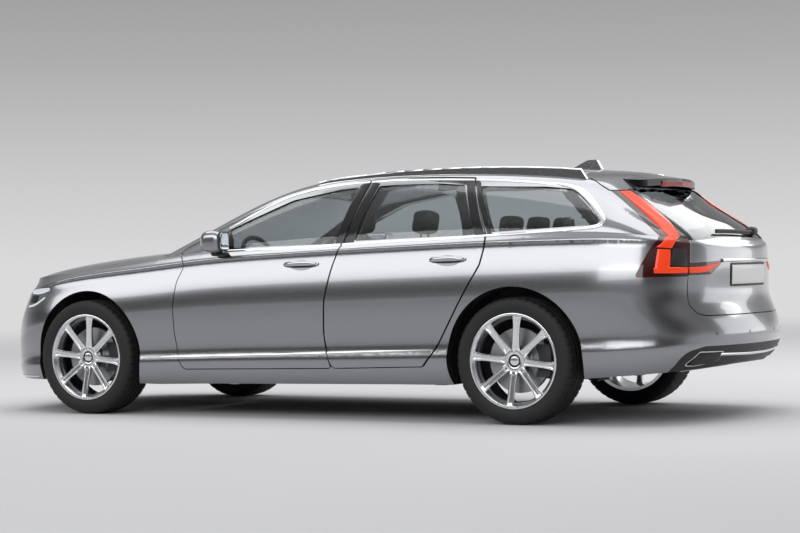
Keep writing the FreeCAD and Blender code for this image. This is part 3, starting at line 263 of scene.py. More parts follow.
@dataclass(frozen=True)
class BodyForm:
    """Control nets of the body: the side round the car, the top of the bonnet and the greenhouse."""

    roof: float = 1.462
    foot: float = 0.520
    cant_share: float = 0.75

    plan: Stations = (
        (NOSE, HALF), (NOSE - 0.004, 0.720), (NOSE - 0.050, 0.440), (NOSE - 0.155, 0.215), (NOSE - 0.350, 0.080),
        (FRONT + 0.270, 0.026), (FRONT, 0.009), (FRONT - 0.420, 0.004), (MIDDLE + 0.560, 0.002), (MIDDLE, 0.0),
        (MIDDLE - 0.560, -0.002), (REAR + 0.420, -0.003), (REAR + 0.150, -0.002), (REAR - 0.230, 0.006),
        (REAR - 0.520, 0.028), (TAIL + 0.370, 0.078), (TAIL + 0.180, 0.200), (TAIL + 0.068, 0.420),
        (TAIL + 0.004, 0.720), (TAIL, HALF))
    rows: Sequence[tuple[float, float, float, float]] = (
        (0.170, 0.072, 0.095, 0.170), (0.205, 0.042, 0.046, 0.118), (0.255, 0.022, 0.014, 0.060),
        (0.310, 0.011, 0.004, 0.018), (0.345, 0.009, 0.002, 0.006), (0.382, 0.019, 0.002, 0.002),
        (0.430, 0.021, 0.0, 0.0), (0.520, 0.013, 0.0, 0.024), (0.620, 0.005, 0.006, 0.080),
        (0.700, 0.005, 0.018, 0.082), (0.780, 0.012, 0.040, 0.078), (0.850, 0.026, 0.062, 0.076),
        (0.905, 0.040, 0.082, 0.078), (0.938, 0.044, 0.098, 0.080), (0.955, 0.039, 0.110, 0.084),
        (0.976, 0.058, 0.130, 0.098), (1.002, 0.078, 0.152, 0.124))
    sill: Stations = ((NOSE, 0.165), (FRONT, 0.168), (FRONT - 0.600, 0.172), (REAR + 0.500, 0.190),
                      (REAR - 0.420, 0.240), (TAIL, 0.270))
    crease: Stations = (
        (NOSE, 0.700), (NOSE - 0.170, 0.728), (FRONT + 0.536, 0.762), (FRONT + 0.373, 0.812), (FRONT + 0.054, 0.860),
        (FRONT - 0.485, 0.902), (FRONT - 0.860, 0.948), (MIDDLE - 0.090, 0.975), (MIDDLE - 0.760, 0.999),
        (REAR + 0.078, 1.013), (REAR - 0.520, 1.015), (REAR - 0.840, 1.004), (TAIL, 0.962))
    belt: Stations = (
        (NOSE, 0.745), (FRONT + 0.536, 0.810), (FRONT + 0.054, 0.903), (FRONT - 0.485, 0.946), (FRONT - 0.740, 0.985),
        (FRONT - 1.060, 0.997), (MIDDLE - 0.070, 1.003), (MIDDLE - 0.740, 1.031), (REAR + 0.095, 1.050),
        (REAR - 0.507, 1.074), (REAR - 0.840, 1.040), (TAIL, 0.986))

    taper: Stations = ((REAR - 0.300, 0), (REAR - 0.450, 0.010), (REAR - 0.600, 0.034), (REAR - 0.700, 0.066),
                       (REAR - 0.790, 0.120), (REAR - 0.860, 0.190), (REAR - 0.910, 0.262), (REAR - 0.950, 0.336),
                       (REAR - 0.985, 0.440))

    def side(self) -> Skin:
        """Surface round the car from sill to belt.

        Each row is the plan line moved inwards by the row's inset, which is blended between side, nose and tail by
        the squares of the outward direction's parts. Heights run in proportion between sill, crease and belt.

        Returns:
            The closed skin.
        """
        around = list(self.plan) + [(x, 2 * HALF - inset) for x, inset in self.plan[-2:0:-1]]
        point = np.array([(x, HALF - inset) for x, inset in around])
        run = np.roll(point, -1, 0) - np.roll(point, 1, 0)
        out = np.stack([-run[:, 1], run[:, 0]], 1)
        out *= np.where((out * point).sum(1) < 0, -1, 1)[:, None]
        out /= np.linalg.norm(out, axis=1, keepdims=True)
        nose, tail = np.maximum(out[:, 0], 0) ** 2, np.maximum(-out[:, 0], 0) ** 2
        side = 1 - nose - tail
        sill, crease, belt = (along(line, point[:, 0]) for line in (self.sill, self.crease, self.belt))
        rows = np.array(self.rows)
        base, top, rim = rows[0, 0], rows[14, 0], rows[-1, 0]
        height = rows[None, :, 0]
        lower = sill[:, None] + (crease - sill)[:, None] * (height - base) / (top - base)
        upper = crease[:, None] + (belt - crease)[:, None] * (height - top) / (rim - top)
        z = np.where(height <= top, lower, upper)
        inset = side[:, None] * rows[None, :, 1] + nose[:, None] * rows[None, :, 2] + tail[:, None] * rows[None, :, 3]
        xy = point[:, None, :] - out[:, None, :] * inset[:, :, None]
        net = np.concatenate([xy, z[:, :, None]], 2)
        under = np.concatenate([xy[:, :1] - out[:, None] * 0.070, np.full((len(point), 1, 1), 0.060)], 2)
        over_xy = xy[:, -1:] - out[:, None] * 0.040
        over = np.concatenate([over_xy, z[:, -1:, None] + 0.060], 2)
        cap = np.concatenate([over_xy, np.full((len(point), 1, 1), 1.500)], 2)
        return Skin(np.concatenate([under, net, over, cap], 1), closed=True)

    def deck(self) -> Skin:
        """Top of the bonnet and belt: the centre height less a cubed share of the half width.

        Returns:
            The open skin.
        """
        line = np.array([
            (NOSE + 0.090, 0.690, 0.090), (NOSE - 0.010, 0.748, 0.105), (NOSE - 0.090, 0.800, 0.120),
            (NOSE - 0.228, 0.872, 0.128), (NOSE - 0.458, 0.934, 0.126), (FRONT + 0.178, 0.963, 0.122),
            (FRONT - 0.030, 0.984, 0.118), (FRONT - 0.260, 1.002, 0.112), (FRONT - 0.490, 1.012, 0.096),
            (FRONT - 0.740, 1.018, 0.046), (FRONT - 1.060, 1.026, 0.034), (MIDDLE - 0.070, 1.032, 0.034),
            (MIDDLE - 0.740, 1.058, 0.034), (REAR + 0.095, 1.076, 0.034), (REAR - 0.507, 1.090, 0.034),
            (REAR - 0.840, 1.024, 0.030), (TAIL + 0.110, 0.986, 0.020), (TAIL - 0.090, 0.968, 0.018)])
        share = np.array([-1.1, -0.98, -0.85, -0.68, -0.4, 0.0, 0.4, 0.68, 0.85, 0.98, 1.1])
        x, y = np.meshgrid(line[:, 0], share * HALF, indexing="ij")
        z = line[:, 1:2] - line[:, 2:3] * np.abs(share)[None, :] ** 3
        return Skin(np.stack([x, y, z], 2)[::-1])

    def cabin_line(self) -> Array:
        """Sections of the greenhouse.

        Returns:
            One row for each section: x, half width at the cant rail, its height and the height at the centre.
        """
        top = self.roof
        return np.array([
            (FRONT + 0.120, 0.850, 0.680, 0.760), (FRONT - 0.080, 0.845, 0.754, 0.834),
            (FRONT - 0.260, 0.832, 0.836, 0.910), (FRONT - 0.420, 0.815, 0.910, 0.988),
            (FRONT - 0.560, 0.796, 0.976, 1.064), (FRONT - 0.740, 0.768, 1.056, 1.158),
            (FRONT - 0.940, 0.737, 1.152, 1.258), (FRONT - 1.120, 0.711, 1.232, 1.338),
            (FRONT - 1.280, 0.692, 1.292, 1.390), (FRONT - 1.460, 0.677, 1.338, 1.426),
            (MIDDLE - 0.190, 0.668, 1.370, top - 0.012), (MIDDLE - 0.560, 0.663, 1.388, top - 0.003),
            (MIDDLE - 0.920, 0.661, 1.388, top - 0.005), (REAR + 0.190, 0.659, 1.374, top - 0.014),
            (REAR - 0.120, 0.655, 1.352, top - 0.034), (REAR - 0.320, 0.650, 1.330, top - 0.052),
            (REAR - 0.450, 0.646, 1.306, top - 0.064), (REAR - 0.520, 0.642, 1.252, top - 0.112),
            (REAR - 0.600, 0.640, 1.198, top - 0.196), (REAR - 0.700, 0.640, 1.136, top - 0.262),
            (REAR - 0.790, 0.640, 1.080, top - 0.319), (REAR - 0.860, 0.632, 1.036, top - 0.364),
            (REAR - 0.910, 0.606, 1.000, top - 0.400), (REAR - 0.950, 0.540, 0.968, top - 0.432),
            (REAR - 0.985, 0.430, 0.930, top - 0.487)])

    def cabin(self, wall: float = 0.0) -> Skin:
        """Greenhouse from the belt over the roof, moved inwards by a wall.

        The drop at a section is the wall times the length of a unit step along the slope there.

        Args:
            wall: thickness to move inwards.

        Returns:
            The open skin.
        """
        line = self.cabin_line()
        x, cant_y, cant_z, top = line.T
        before, after = np.r_[0, np.arange(len(line) - 1)], np.r_[np.arange(1, len(line)), len(line) - 1]
        run = x[before] - x[after]
        new_top = top - wall * np.hypot(1, (top[before] - top[after]) / run)
        new_z = cant_z - self.cant_share * wall * np.hypot(1, (cant_z[before] - cant_z[after]) / run)
        cant_y = cant_y - wall
        belt = np.minimum(along(self.belt, x), new_z - 0.110)
        taper = along(self.taper, x)
        belt_y = HALF - 0.072 - taper - wall
        lean_y, lean_z, rise = cant_y - belt_y, new_z - belt, new_top - new_z
        half = [(belt_y + 0.004, np.full_like(x, self.foot)), (belt_y + 0.003, (self.foot + belt) / 2), (belt_y, belt),
                (belt_y + lean_y * 0.3 + 0.010, belt + lean_z * 0.33),
                (belt_y + lean_y * 0.64 + 0.010, belt + lean_z * 0.67),
                (cant_y + 0.010, new_z - 0.026), (cant_y - 0.016, new_z + 0.012),
                (cant_y - 0.070, new_z + 0.36 * rise), (cant_y * 0.66, new_z + 0.75 * rise),
                (cant_y * 0.33, new_z + 0.95 * rise)]
        full = half + [(np.zeros_like(x), new_top)] + [(-y, z) for y, z in reversed(half)]
        return Skin(np.stack([np.stack([x, y, z], 1) for y, z in full], 1)[::-1])


# Meshes
JOIN_STEPS = 20000  # points that agree to a twentieth of a millimetre are one


def new_object(name: str, points: Array, faces: Sequence[Sequence[int]] | Array,
               smooth: bool = True) -> bpy.types.Object:
    """Object at the origin from points and faces.

    Args:
        name: name of the object and its mesh.
        points: places, one row each.
        faces: point numbers of each face.
        smooth: whether the faces are shaded smooth.

    Returns:
        The new object.
    """
    mesh = bpy.data.meshes.new(name)
    mesh.from_pydata(np.asarray(points, float).tolist(), [], [list(map(int, face)) for face in faces])
    mesh.update()
    mesh.polygons.foreach_set("use_smooth", np.full(len(mesh.polygons), smooth))
    piece = bpy.data.objects.new(name, mesh)
    bpy.context.scene.collection.objects.link(piece)
    return piece


def merged_copy(node: str) -> tuple[Array, Array]:
    """Points and triangles of a node with its loose triangles joined.

    Args:
        node: name of the CAD node.

    Returns:
        The separate points and the three point numbers of each triangle.
    """
    mesh = frame["nodes"][node].data
    mesh.calc_loop_triangles()
    co = np.zeros(len(mesh.vertices) * 3)
    mesh.vertices.foreach_get("co", co)
    tri = np.zeros(len(mesh.loop_triangles) * 3, int)
    mesh.loop_triangles.foreach_get("vertices", tri)
    keys = np.round(co.reshape(-1, 3) * JOIN_STEPS).astype(np.int64)
    _, first, back = np.unique(keys, axis=0, return_index=True, return_inverse=True)
    tri = back.ravel()[tri.reshape(-1, 3)]
    keep = (tri[:, 0] != tri[:, 1]) & (tri[:, 1] != tri[:, 2]) & (tri[:, 2] != tri[:, 0])
    return co.reshape(-1, 3)[first], tri[keep]


class Panels:
    """Painted panels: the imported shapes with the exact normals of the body's surfaces."""

    touch = 0.0012
    least_cosine = 0.75
    blade_foot, blade_front, blade_half, blade_slope = 1.262, -1.790, 0.62, 0.30

    def __init__(self, form: BodyForm) -> None:
        """Keep the skins that a panel may lie on.

        Args:
            form: the body's control nets.
        """
        self.skins = [form.side(), form.deck(), form.cabin()]

    def dress(self, node: str, body: str, material: bpy.types.Material) -> bpy.types.Object:
        """Copy of a node whose outside is shaded by the surfaces that it was cut from.

        Args:
            node: CAD node that the piece replaces.
            body: body that it rides on.
            material: finish of the panel.

        Returns:
            The new piece.
        """
        points, tri = merged_copy(node)
        corner = points[tri]
        flat = np.cross(corner[:, 1] - corner[:, 0], corner[:, 2] - corner[:, 0])
        area = np.linalg.norm(flat, axis=1, keepdims=True)
        flat = flat / np.maximum(area, 1e-14)
        normals = np.repeat(flat[:, None], 3, 1)
        best = np.full(tri.shape, self.least_cosine)
        for skin in self.skins:
            away, normal = skin.nearest(points)
            turned = normal[tri]
            cosine = (turned * flat[:, None]).sum(2)
            turned = turned * np.sign(cosine)[:, :, None]
            cosine = np.abs(cosine)
            take = (away[tri] < self.touch) & (cosine > best)
            normals[take] = turned[take]
            best[take] = cosine[take]
        piece = new_object(node + "_shell", points, tri)
        piece.data.normals_split_custom_set(normals.reshape(-1, 3).tolist())
        piece.data.materials.append(material)
        if node == "tailgate":
            piece.data.materials.append(GLOSS_BLACK.build())
            under = self.under_blade(corner.mean(1), flat)
            piece.data.polygons.foreach_set("material_index", under.astype(np.int32))
        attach(piece, body)
        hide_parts(node)
        return piece

    def under_blade(self, centre: Array, flat: Array) -> Array:
        """Faces under the roof blade of the tailgate, which are black.

        Args:
            centre: middle of each face.
            flat: unit normal of each face.

        Returns:
            True for the faces that lie there and don't look up.
        """
        return ((centre[:, 2] > self.blade_foot) & (centre[:, 0] < self.blade_front)
                & (flat[:, 2] < self.blade_slope) & (np.abs(centre[:, 1]) < self.blade_half))


# Finishes
GRAIN_HEIGHT = 0.0004


@dataclass(frozen=True)
class Finish:
    """Finish of a piece: the numbers of its shader and of the pattern that varies it."""

    name: str
    colour: tuple[float, float, float]
    metallic: float = 0.0
    roughness: float = 0.5
    coat: float = 0.0
    coat_roughness: float = 0.03
    ior: float = 1.45
    grain_scale: float = 400.0
    grain_bump: float = 0.0
    grain_colour: float = 0.0
    alpha: float = 1.0
    transmission: float = 0.0
    emission: float = 0.0

    def build(self) -> bpy.types.Material:
        """Material with the grain group between the object's coordinates and the shader.

        Returns:
            The material, made once for each finish.
        """
        found = bpy.data.materials.get(self.name)
        if found:
            return found
        material = bpy.data.materials.new(self.name)
        material.use_nodes = True
        nodes, links = material.node_tree.nodes, material.node_tree.links
        shader = nodes["Principled BSDF"]
        for socket, value in (("Metallic", self.metallic), ("IOR", self.ior), ("Coat Weight", self.coat),
                              ("Coat Roughness", self.coat_roughness), ("Alpha", self.alpha),
                              ("Transmission Weight", self.transmission), ("Emission Color", (*self.colour, 1)),
                              ("Emission Strength", self.emission), ("Base Color", (*self.colour, 1)),
                              ("Roughness", self.roughness)):
            shader.inputs[socket].default_value = value
        if not (self.grain_colour or self.grain_bump):
            return material
        place = nodes.new("ShaderNodeTexCoord")
        grain = nodes.new("ShaderNodeGroup")
        grain.node_tree = grain_group()
        grain.inputs["Colour"].default_value = (*self.colour, 1)
        grain.inputs["Roughness"].default_value = self.roughness
        grain.inputs["Scale"].default_value = self.grain_scale
        grain.inputs["Variation"].default_value = self.grain_colour
        links.new(place.outputs["Object"], grain.inputs["Place"])
        if self.grain_colour:
            links.new(grain.outputs["Colour"], shader.inputs["Base Color"])
            links.new(grain.outputs["Roughness"], shader.inputs["Roughness"])
        if self.grain_bump:
            bump = nodes.new("ShaderNodeBump")
            bump.inputs["Strength"].default_value = self.grain_bump
            bump.inputs["Distance"].default_value = GRAIN_HEIGHT
            links.new(grain.outputs["Height"], bump.inputs["Height"])
            links.new(bump.outputs["Normal"], shader.inputs["Normal"])
        return material


def grain_group() -> bpy.types.NodeTree:
    """Group that varies a colour and a roughness by fine noise and puts out the noise as a height.

    Both are multiplied by 1 + variation * (noise - 0.5).

    Returns:
        The group, made once.
    """
    found = bpy.data.node_groups.get("grain")
    if found:
        return found
    tree = bpy.data.node_groups.new("grain", "ShaderNodeTree")
    for name, kind in (("Place", "NodeSocketVector"), ("Colour", "NodeSocketColor"), ("Roughness", "NodeSocketFloat"),
                       ("Scale", "NodeSocketFloat"), ("Variation", "NodeSocketFloat")):
        tree.interface.new_socket(name, in_out="INPUT", socket_type=kind)
    for name, kind in (("Colour", "NodeSocketColor"), ("Roughness", "NodeSocketFloat"), ("Height", "NodeSocketFloat")):
        tree.interface.new_socket(name, in_out="OUTPUT", socket_type=kind)
    nodes, links = tree.nodes, tree.links
    ins, outs = nodes.new("NodeGroupInput"), nodes.new("NodeGroupOutput")
    noise = nodes.new("ShaderNodeTexNoise")
    noise.inputs["Detail"].default_value = 2.0
    links.new(ins.outputs["Place"], noise.inputs["Vector"])
    links.new(ins.outputs["Scale"], noise.inputs["Scale"])
    centre = nodes.new("ShaderNodeMath")
    centre.operation = "SUBTRACT"
    centre.inputs[1].default_value = 0.5
    links.new(noise.outputs["Fac"], centre.inputs[0])
    gain = nodes.new("ShaderNodeMath")
    gain.operation = "MULTIPLY_ADD"
    gain.inputs[2].default_value = 1.0
    links.new(centre.outputs[0], gain.inputs[0])
    links.new(ins.outputs["Variation"], gain.inputs[1])
    tint = nodes.new("ShaderNodeVectorMath")
    tint.operation = "SCALE"
    links.new(ins.outputs["Colour"], tint.inputs[0])
    links.new(gain.outputs[0], tint.inputs["Scale"])
    rough = nodes.new("ShaderNodeMath")
    rough.operation = "MULTIPLY"
    links.new(ins.outputs["Roughness"], rough.inputs[0])
    links.new(gain.outputs[0], rough.inputs[1])
    links.new(tint.outputs[0], outs.inputs["Colour"])
    links.new(rough.outputs[0], outs.inputs["Roughness"])
    links.new(noise.outputs["Fac"], outs.inputs["Height"])
    return tree


WHITE_METAL = (0.80, 0.81, 0.83)
PAINT = Finish("silver_paint", (0.300, 0.305, 0.322), metallic=0.95, roughness=0.20, coat=1.0, coat_roughness=0.02,
               grain_scale=2600, grain_colour=0.16)
# Darker copy of the body paint: painted shade for the door handle hollows and the parking sensors.
HOLLOW_SHADE_PAINT = replace(PAINT, name="silver_paint_painted_shade", colour=(0.16, 0.163, 0.172), roughness=0.26)
HANDLE = Finish("handle_chrome", (0.50, 0.51, 0.53), metallic=1.0, roughness=0.16, grain_scale=300, grain_colour=0.06)
GLASS = Finish("tinted_glass", (0.60, 0.64, 0.65), roughness=0.0, transmission=1.0, ior=1.45, grain_scale=2,
               grain_colour=0.04)
GLOSS_BLACK = Finish("gloss_black", (0.006, 0.006, 0.007), roughness=0.14, grain_scale=900, grain_colour=0.1)
RUBBER = Finish("tyre_rubber", (0.010, 0.010, 0.0105), roughness=0.66, grain_scale=700, grain_bump=0.25,
                grain_colour=0.3)
ALLOY = Finish("machined_alloy", WHITE_METAL, metallic=1.0, roughness=0.20, coat=0.5, grain_scale=900,
               grain_colour=0.08)
# Darker copy of the alloy for the spokes' backs and flanks: painted shade in the wheel's hollows.
ALLOY_PAINTED_SHADE = Finish("alloy_painted_shade", (0.20, 0.205, 0.21), metallic=0.8, roughness=0.34, coat=0.6, grain_scale=900,
                    grain_colour=0.1)
STEEL = Finish("turned_steel", (0.36, 0.36, 0.37), metallic=1.0, roughness=0.38, grain_scale=500, grain_colour=0.3)
CAST = Finish("grey_casting", (0.055, 0.056, 0.06), metallic=0.6, roughness=0.62, grain_scale=320, grain_bump=0.5,
              grain_colour=0.4)
BLACK = Finish("black_moulding", (0.018, 0.018, 0.019), roughness=0.48, grain_scale=1500, grain_bump=0.3,
               grain_colour=0.2)
LAMP_CLEAR = Finish("lens_clear", (0.10, 0.11, 0.12), roughness=0.05, coat=1.0, grain_scale=40, grain_colour=0.2)
LAMP_SMOKE = Finish("lens_smoked", (0.030, 0.026, 0.028), roughness=0.06, coat=1.0, grain_scale=60, grain_colour=0.2)
LAMP_BRIGHT = Finish("lamp_bright", (0.80, 0.84, 0.88), metallic=0.4, roughness=0.12, coat=1.0, grain_scale=90,
                     grain_colour=0.1, emission=0.25)
LAMP_RED = Finish("lens_red", (0.045, 0.004, 0.004), roughness=0.08, coat=1.0, grain_scale=60, grain_colour=0.2)
LAMP_LIT = Finish("lamp_lit", (0.70, 0.042, 0.006), roughness=0.30, coat=0.4, grain_scale=60, grain_colour=0.2,
                  emission=0.42)
LAMP_DIM = Finish("lamp_dim", (0.22, 0.010, 0.008), roughness=0.20, coat=0.4, grain_scale=60, grain_colour=0.2,
                  emission=0.35)
MIRROR = Finish("mirror_glass", (0.85, 0.86, 0.88), metallic=1.0, roughness=0.02, grain_scale=3, grain_colour=0.02)
PLATE = Finish("plate_white", (0.72, 0.72, 0.71), roughness=0.35, coat=0.4, grain_scale=1600, grain_bump=0.2,
               grain_colour=0.05)
UNDERBODY = Finish("underbody_coat", (0.030, 0.030, 0.032), roughness=0.72, grain_scale=240, grain_bump=0.5,
                   grain_colour=0.4)
LEATHER = Finish("grained_leather", (0.030, 0.029, 0.030), roughness=0.46, grain_scale=520, grain_bump=0.5,
                 grain_colour=0.3)
CABIN = Finish("cabin_moulding", (0.022, 0.022, 0.024), roughness=0.55, grain_scale=900, grain_bump=0.4,
               grain_colour=0.3)
CARPET = Finish("carpet_pile", (0.020, 0.020, 0.021), roughness=0.95, grain_scale=1300, grain_bump=0.9,
                grain_colour=0.6)
TRIM = Finish("bright_trim", WHITE_METAL, metallic=1.0, roughness=0.12, grain_scale=300, grain_colour=0.06)
PIPE = Finish("pipe_steel", (0.30, 0.29, 0.28), metallic=1.0, roughness=0.42, grain_scale=150, grain_colour=0.4)

SLOT_FINISH = {
    "paint": PAINT, "glass": GLASS, "tyre": RUBBER, "alloy": ALLOY, "disc_steel": STEEL, "cast_metal": CAST,
    "black_plastic": BLACK, "lamp_clear": LAMP_CLEAR, "lamp_red": LAMP_RED, "floor_paint": UNDERBODY,
    "seat_leather": LEATHER, "cabin_plastic": CABIN, "cabin_leather": LEATHER, "carpet": CARPET,
    "polished_trim": TRIM, "exhaust_steel": PIPE,
}


def node_slots() -> dict[str, str]:
    """Material slot of each CAD node, from the record.

    Returns:
        Slots by node.
    """
    return {part["node"]: part["material_slot"] for part in frame["record"]["subparts"]}


def node_bodies() -> dict[str, str]:
    """Body of each CAD node, from the record.

    Returns:
        Bodies by node.
    """
    return {node: body for body, members in frame["record"]["behaviour"]["bodies"].items() for node in members}


def finish_nodes() -> None:
    """Give every CAD node the finish of its slot."""
    for node, slot in node_slots().items():
        mesh = frame["nodes"][node].data
        mesh.materials.clear()
        mesh.materials.append(SLOT_FINISH[slot].build())


# Solids
def grid_faces(rows: int, columns: int, rows_close: bool, columns_close: bool) -> Array:
    """Four-sided faces of a grid of points.

    Args:
        rows: number of rows.
        columns: number of columns.
        rows_close: whether the last row joins the first.
        columns_close: whether the last column joins the first.

    Returns:
        The four point numbers of each face.
    """
    i, j = np.meshgrid(np.arange(rows if rows_close else rows - 1),
                       np.arange(columns if columns_close else columns - 1), indexing="ij")
    below, beside = (i + 1) % rows, (j + 1) % columns
    quads = np.stack([i * columns + j, below * columns + j, below * columns + beside, i * columns + beside], 2)
    return quads.reshape(-1, 4)


@dataclass
class Solid:
    """Closed mesh in arrays: points, faces and the finish number of each face."""

    points: Array
    faces: list[tuple[int, ...]]
    marks: list[int]

    @classmethod
    def from_grid(cls, grid: Array, rows_close: bool = False, columns_close: bool = True, mark: int = 0) -> "Solid":
        """Solid whose rows are sections; open ends get flat caps.

        Args:
            grid: points by row and column.
            rows_close: whether the last row joins the first.
            columns_close: whether the last column joins the first.
            mark: finish number of all faces.

        Returns:
            The solid, with faces that look outwards.
        """
        rows, columns = grid.shape[:2]
        faces = [tuple(face) for face in grid_faces(rows, columns, rows_close, columns_close).tolist()]
        if not rows_close:
            faces.append(tuple(range(columns - 1, -1, -1)))
            faces.append(tuple(range((rows - 1) * columns, rows * columns)))
        return cls(grid.reshape(-1, 3), faces, [mark] * len(faces)).outward()

    def volume(self) -> float:
        """Signed volume, positive when the faces look outwards.

        It is a sixth of the sum of the triple products of the corners of each face's triangles.

        Returns:
            The volume in cubic metres.
        """
        total = 0.0
        for size in {len(face) for face in self.faces}:
            corner = self.points[np.array([face for face in self.faces if len(face) == size])]
            for k in range(1, size - 1):
                total += float(np.einsum("ij,ij->", corner[:, 0], np.cross(corner[:, k], corner[:, k + 1])))
        return total / 6

    def outward(self) -> "Solid":
        """Turn the faces where they look inwards.

        Returns:
            The same solid.
        """
        if self.volume() < 0:
            self.faces = [face[::-1] for face in self.faces]
        return self

    def moved(self, turn: Array | None = None, shift: Sequence[float] = (0, 0, 0)) -> "Solid":
        """Copy turned by a matrix and shifted.

        Args:
            turn: three by three matrix, or none.
            shift: step after the turn.

        Returns:
            The copy.
        """
        points = self.points if turn is None else self.points @ np.asarray(turn).T
        return Solid(points + np.asarray(shift, float), list(self.faces), list(self.marks)).outward()

    def on(self, side: Side) -> "Solid":
        """Solid for one side of the car.

        Args:
            side: side that it is for.

        Returns:
            The solid itself on the left, its mirror image on the right.
        """
        return self if side is Side.LEFT else self.moved(np.diag([1.0, -1.0, 1.0]))

    @classmethod
    def join(cls, parts: Iterable["Solid"]) -> "Solid":
        """One solid of several.

        Args:
            parts: the solids, in order.

        Returns:
            Their points, faces and marks in one.
        """
        points, faces, marks, start = [], [], [], 0
        for part in parts:
            points.append(part.points)
            faces += [tuple(k + start for k in face) for face in part.faces]
            marks += part.marks
            start += len(part.points)
        return cls(np.concatenate(points), faces, marks)

    def build(self, name: str, body: str, slot: str, *finishes: "Finish", nodes: Sequence[str] = (),
              angle: float = 34.0) -> bpy.types.Object:
        """Blender object of the solid.

        Args:
            name: name of the piece.
            body: body that it rides on.
            slot: material slot of the record; not used.
            finishes: finishes, in the order of the face marks.
            nodes: CAD nodes that the piece replaces.
            angle: sharpest smooth edge in degrees.

        Returns:
            The new piece.
        """
        piece = new_object(name, self.points, self.faces)
        for finish in finishes:
            piece.data.materials.append(finish.build())
        piece.data.polygons.foreach_set("material_index", np.array(self.marks, dtype=np.int32))
        piece.data.set_sharp_from_angle(angle=math.radians(angle))
        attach(piece, body)
        if nodes:
            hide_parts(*nodes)
        return piece


def revolved(profile: Array, centre: Sequence[float], segments: int, mark: int = 0) -> Solid:
    """Ring about the Y axis through a centre.

    Args:
        profile: closed line of (radius, offset) pairs.
        centre: centre of the ring.
        segments: steps round the axis.
        mark: finish number of all faces.

    Returns:
        The ring.
    """
    profile = np.asarray(profile, float)
    turn = np.linspace(0, 2 * math.pi, segments, endpoint=False)[:, None]
    offset = np.broadcast_to(profile[None, :, 1], (segments, len(profile)))
    grid = np.stack([profile[None, :, 0] * np.cos(turn), offset, profile[None, :, 0] * np.sin(turn)], 2)
    return Solid.from_grid(grid + np.asarray(centre, float), rows_close=True, mark=mark)


def swept(path: Array, radii: Array, sides: int = 12, mark: int = 0) -> Solid:
    """Round or oval bar along a path.

    Args:
        path: points of its middle line.
        radii: (across, up) pair, or one pair for each point.
        sides: steps round the section.
        mark: finish number of all faces.

    Returns:
        The bar, with flat ends.
    """
    path = np.asarray(path, float)
    radii = np.broadcast_to(np.asarray(radii, float), (len(path), 2))
    run = np.gradient(path, axis=0)
    run /= np.linalg.norm(run, axis=1, keepdims=True)
    up = np.tile([0.0, 0.0, 1.0], (len(path), 1))
    up[np.abs(run[:, 2]) > 0.9] = [1.0, 0.0, 0.0]
    across = np.cross(run, up)
    across /= np.linalg.norm(across, axis=1, keepdims=True)
    up = np.cross(across, run)
    turn = np.linspace(0, 2 * math.pi, sides, endpoint=False)
    grid = (path[:, None] + across[:, None] * (radii[:, None, :1] * np.cos(turn)[None, :, None])
            + up[:, None] * (radii[:, None, 1:] * np.sin(turn)[None, :, None]))
    return Solid.from_grid(grid, mark=mark)


def egg(centre: Sequence[float], half: Sequence[float], power: float = 0.6, rows: int = 18, sides: int = 28) -> Solid:
    """Rounded block: a superellipsoid, whose sines and cosines are raised to a power.

    Args:
        centre: centre of the block.
        half: its half sizes.
        power: 1 for an ellipsoid, near 0 for a box.
        rows: steps from bottom to top.
        sides: steps round.

    Returns:
        The block.
    """
    pole = 0.02
    tilt = np.linspace(-math.pi / 2 + pole, math.pi / 2 - pole, rows)[:, None]
    turn = np.linspace(0, 2 * math.pi, sides, endpoint=False)[None]

    def bend(value: Array) -> Array:
        """Power of a value that keeps its sign."""
        return np.sign(value) * np.abs(value) ** power

    x = bend(np.cos(tilt)) * bend(np.cos(turn))
    y = bend(np.cos(tilt)) * bend(np.sin(turn))
    z = np.broadcast_to(bend(np.sin(tilt)), x.shape)
    return Solid.from_grid(np.stack([x, y, z], 2) * np.asarray(half, float) + np.asarray(centre, float))


def resampled(path: Sequence[Sequence[float]], count: int, rounds: int = 0, closed: bool = False) -> Array:
    """Points at equal steps along a path whose corners are cut round.

    Each round puts two points on every leg, at a quarter and at three quarters.

    Args:
        path: corners, one row each.
        count: number of points.
        rounds: how often the corners are cut.
        closed: whether the path closes on itself.

    Returns:
        The points.
    """
    path = np.asarray(path, float)
    for _ in range(rounds):
        ahead = np.roll(path, -1, 0)
        low, high = path * 0.75 + ahead * 0.25, path * 0.25 + ahead * 0.75
        if closed:
            path = np.stack([low, high], 1).reshape(-1, path.shape[1])
        else:
            middle = np.stack([low[:-1], high[:-1]], 1).reshape(-1, path.shape[1])
            path = np.concatenate([path[:1], middle, path[-1:]])
    if closed:
        path = np.concatenate([path, path[:1]])
    away = np.r_[0, np.cumsum(np.linalg.norm(np.diff(path, axis=0), axis=1))]
    want = np.linspace(0, away[-1], count, endpoint=not closed)
    return np.stack([np.interp(want, away, path[:, k]) for k in range(path.shape[1])], 1)


class View(Enum):
    """Direction from which a place on the body is read: two coordinates are given, the third is found."""

    SIDE = (0, 2, 1, 1)
    TAIL = (1, 2, 0, -1)
    NOSE = (1, 2, 0, 1)


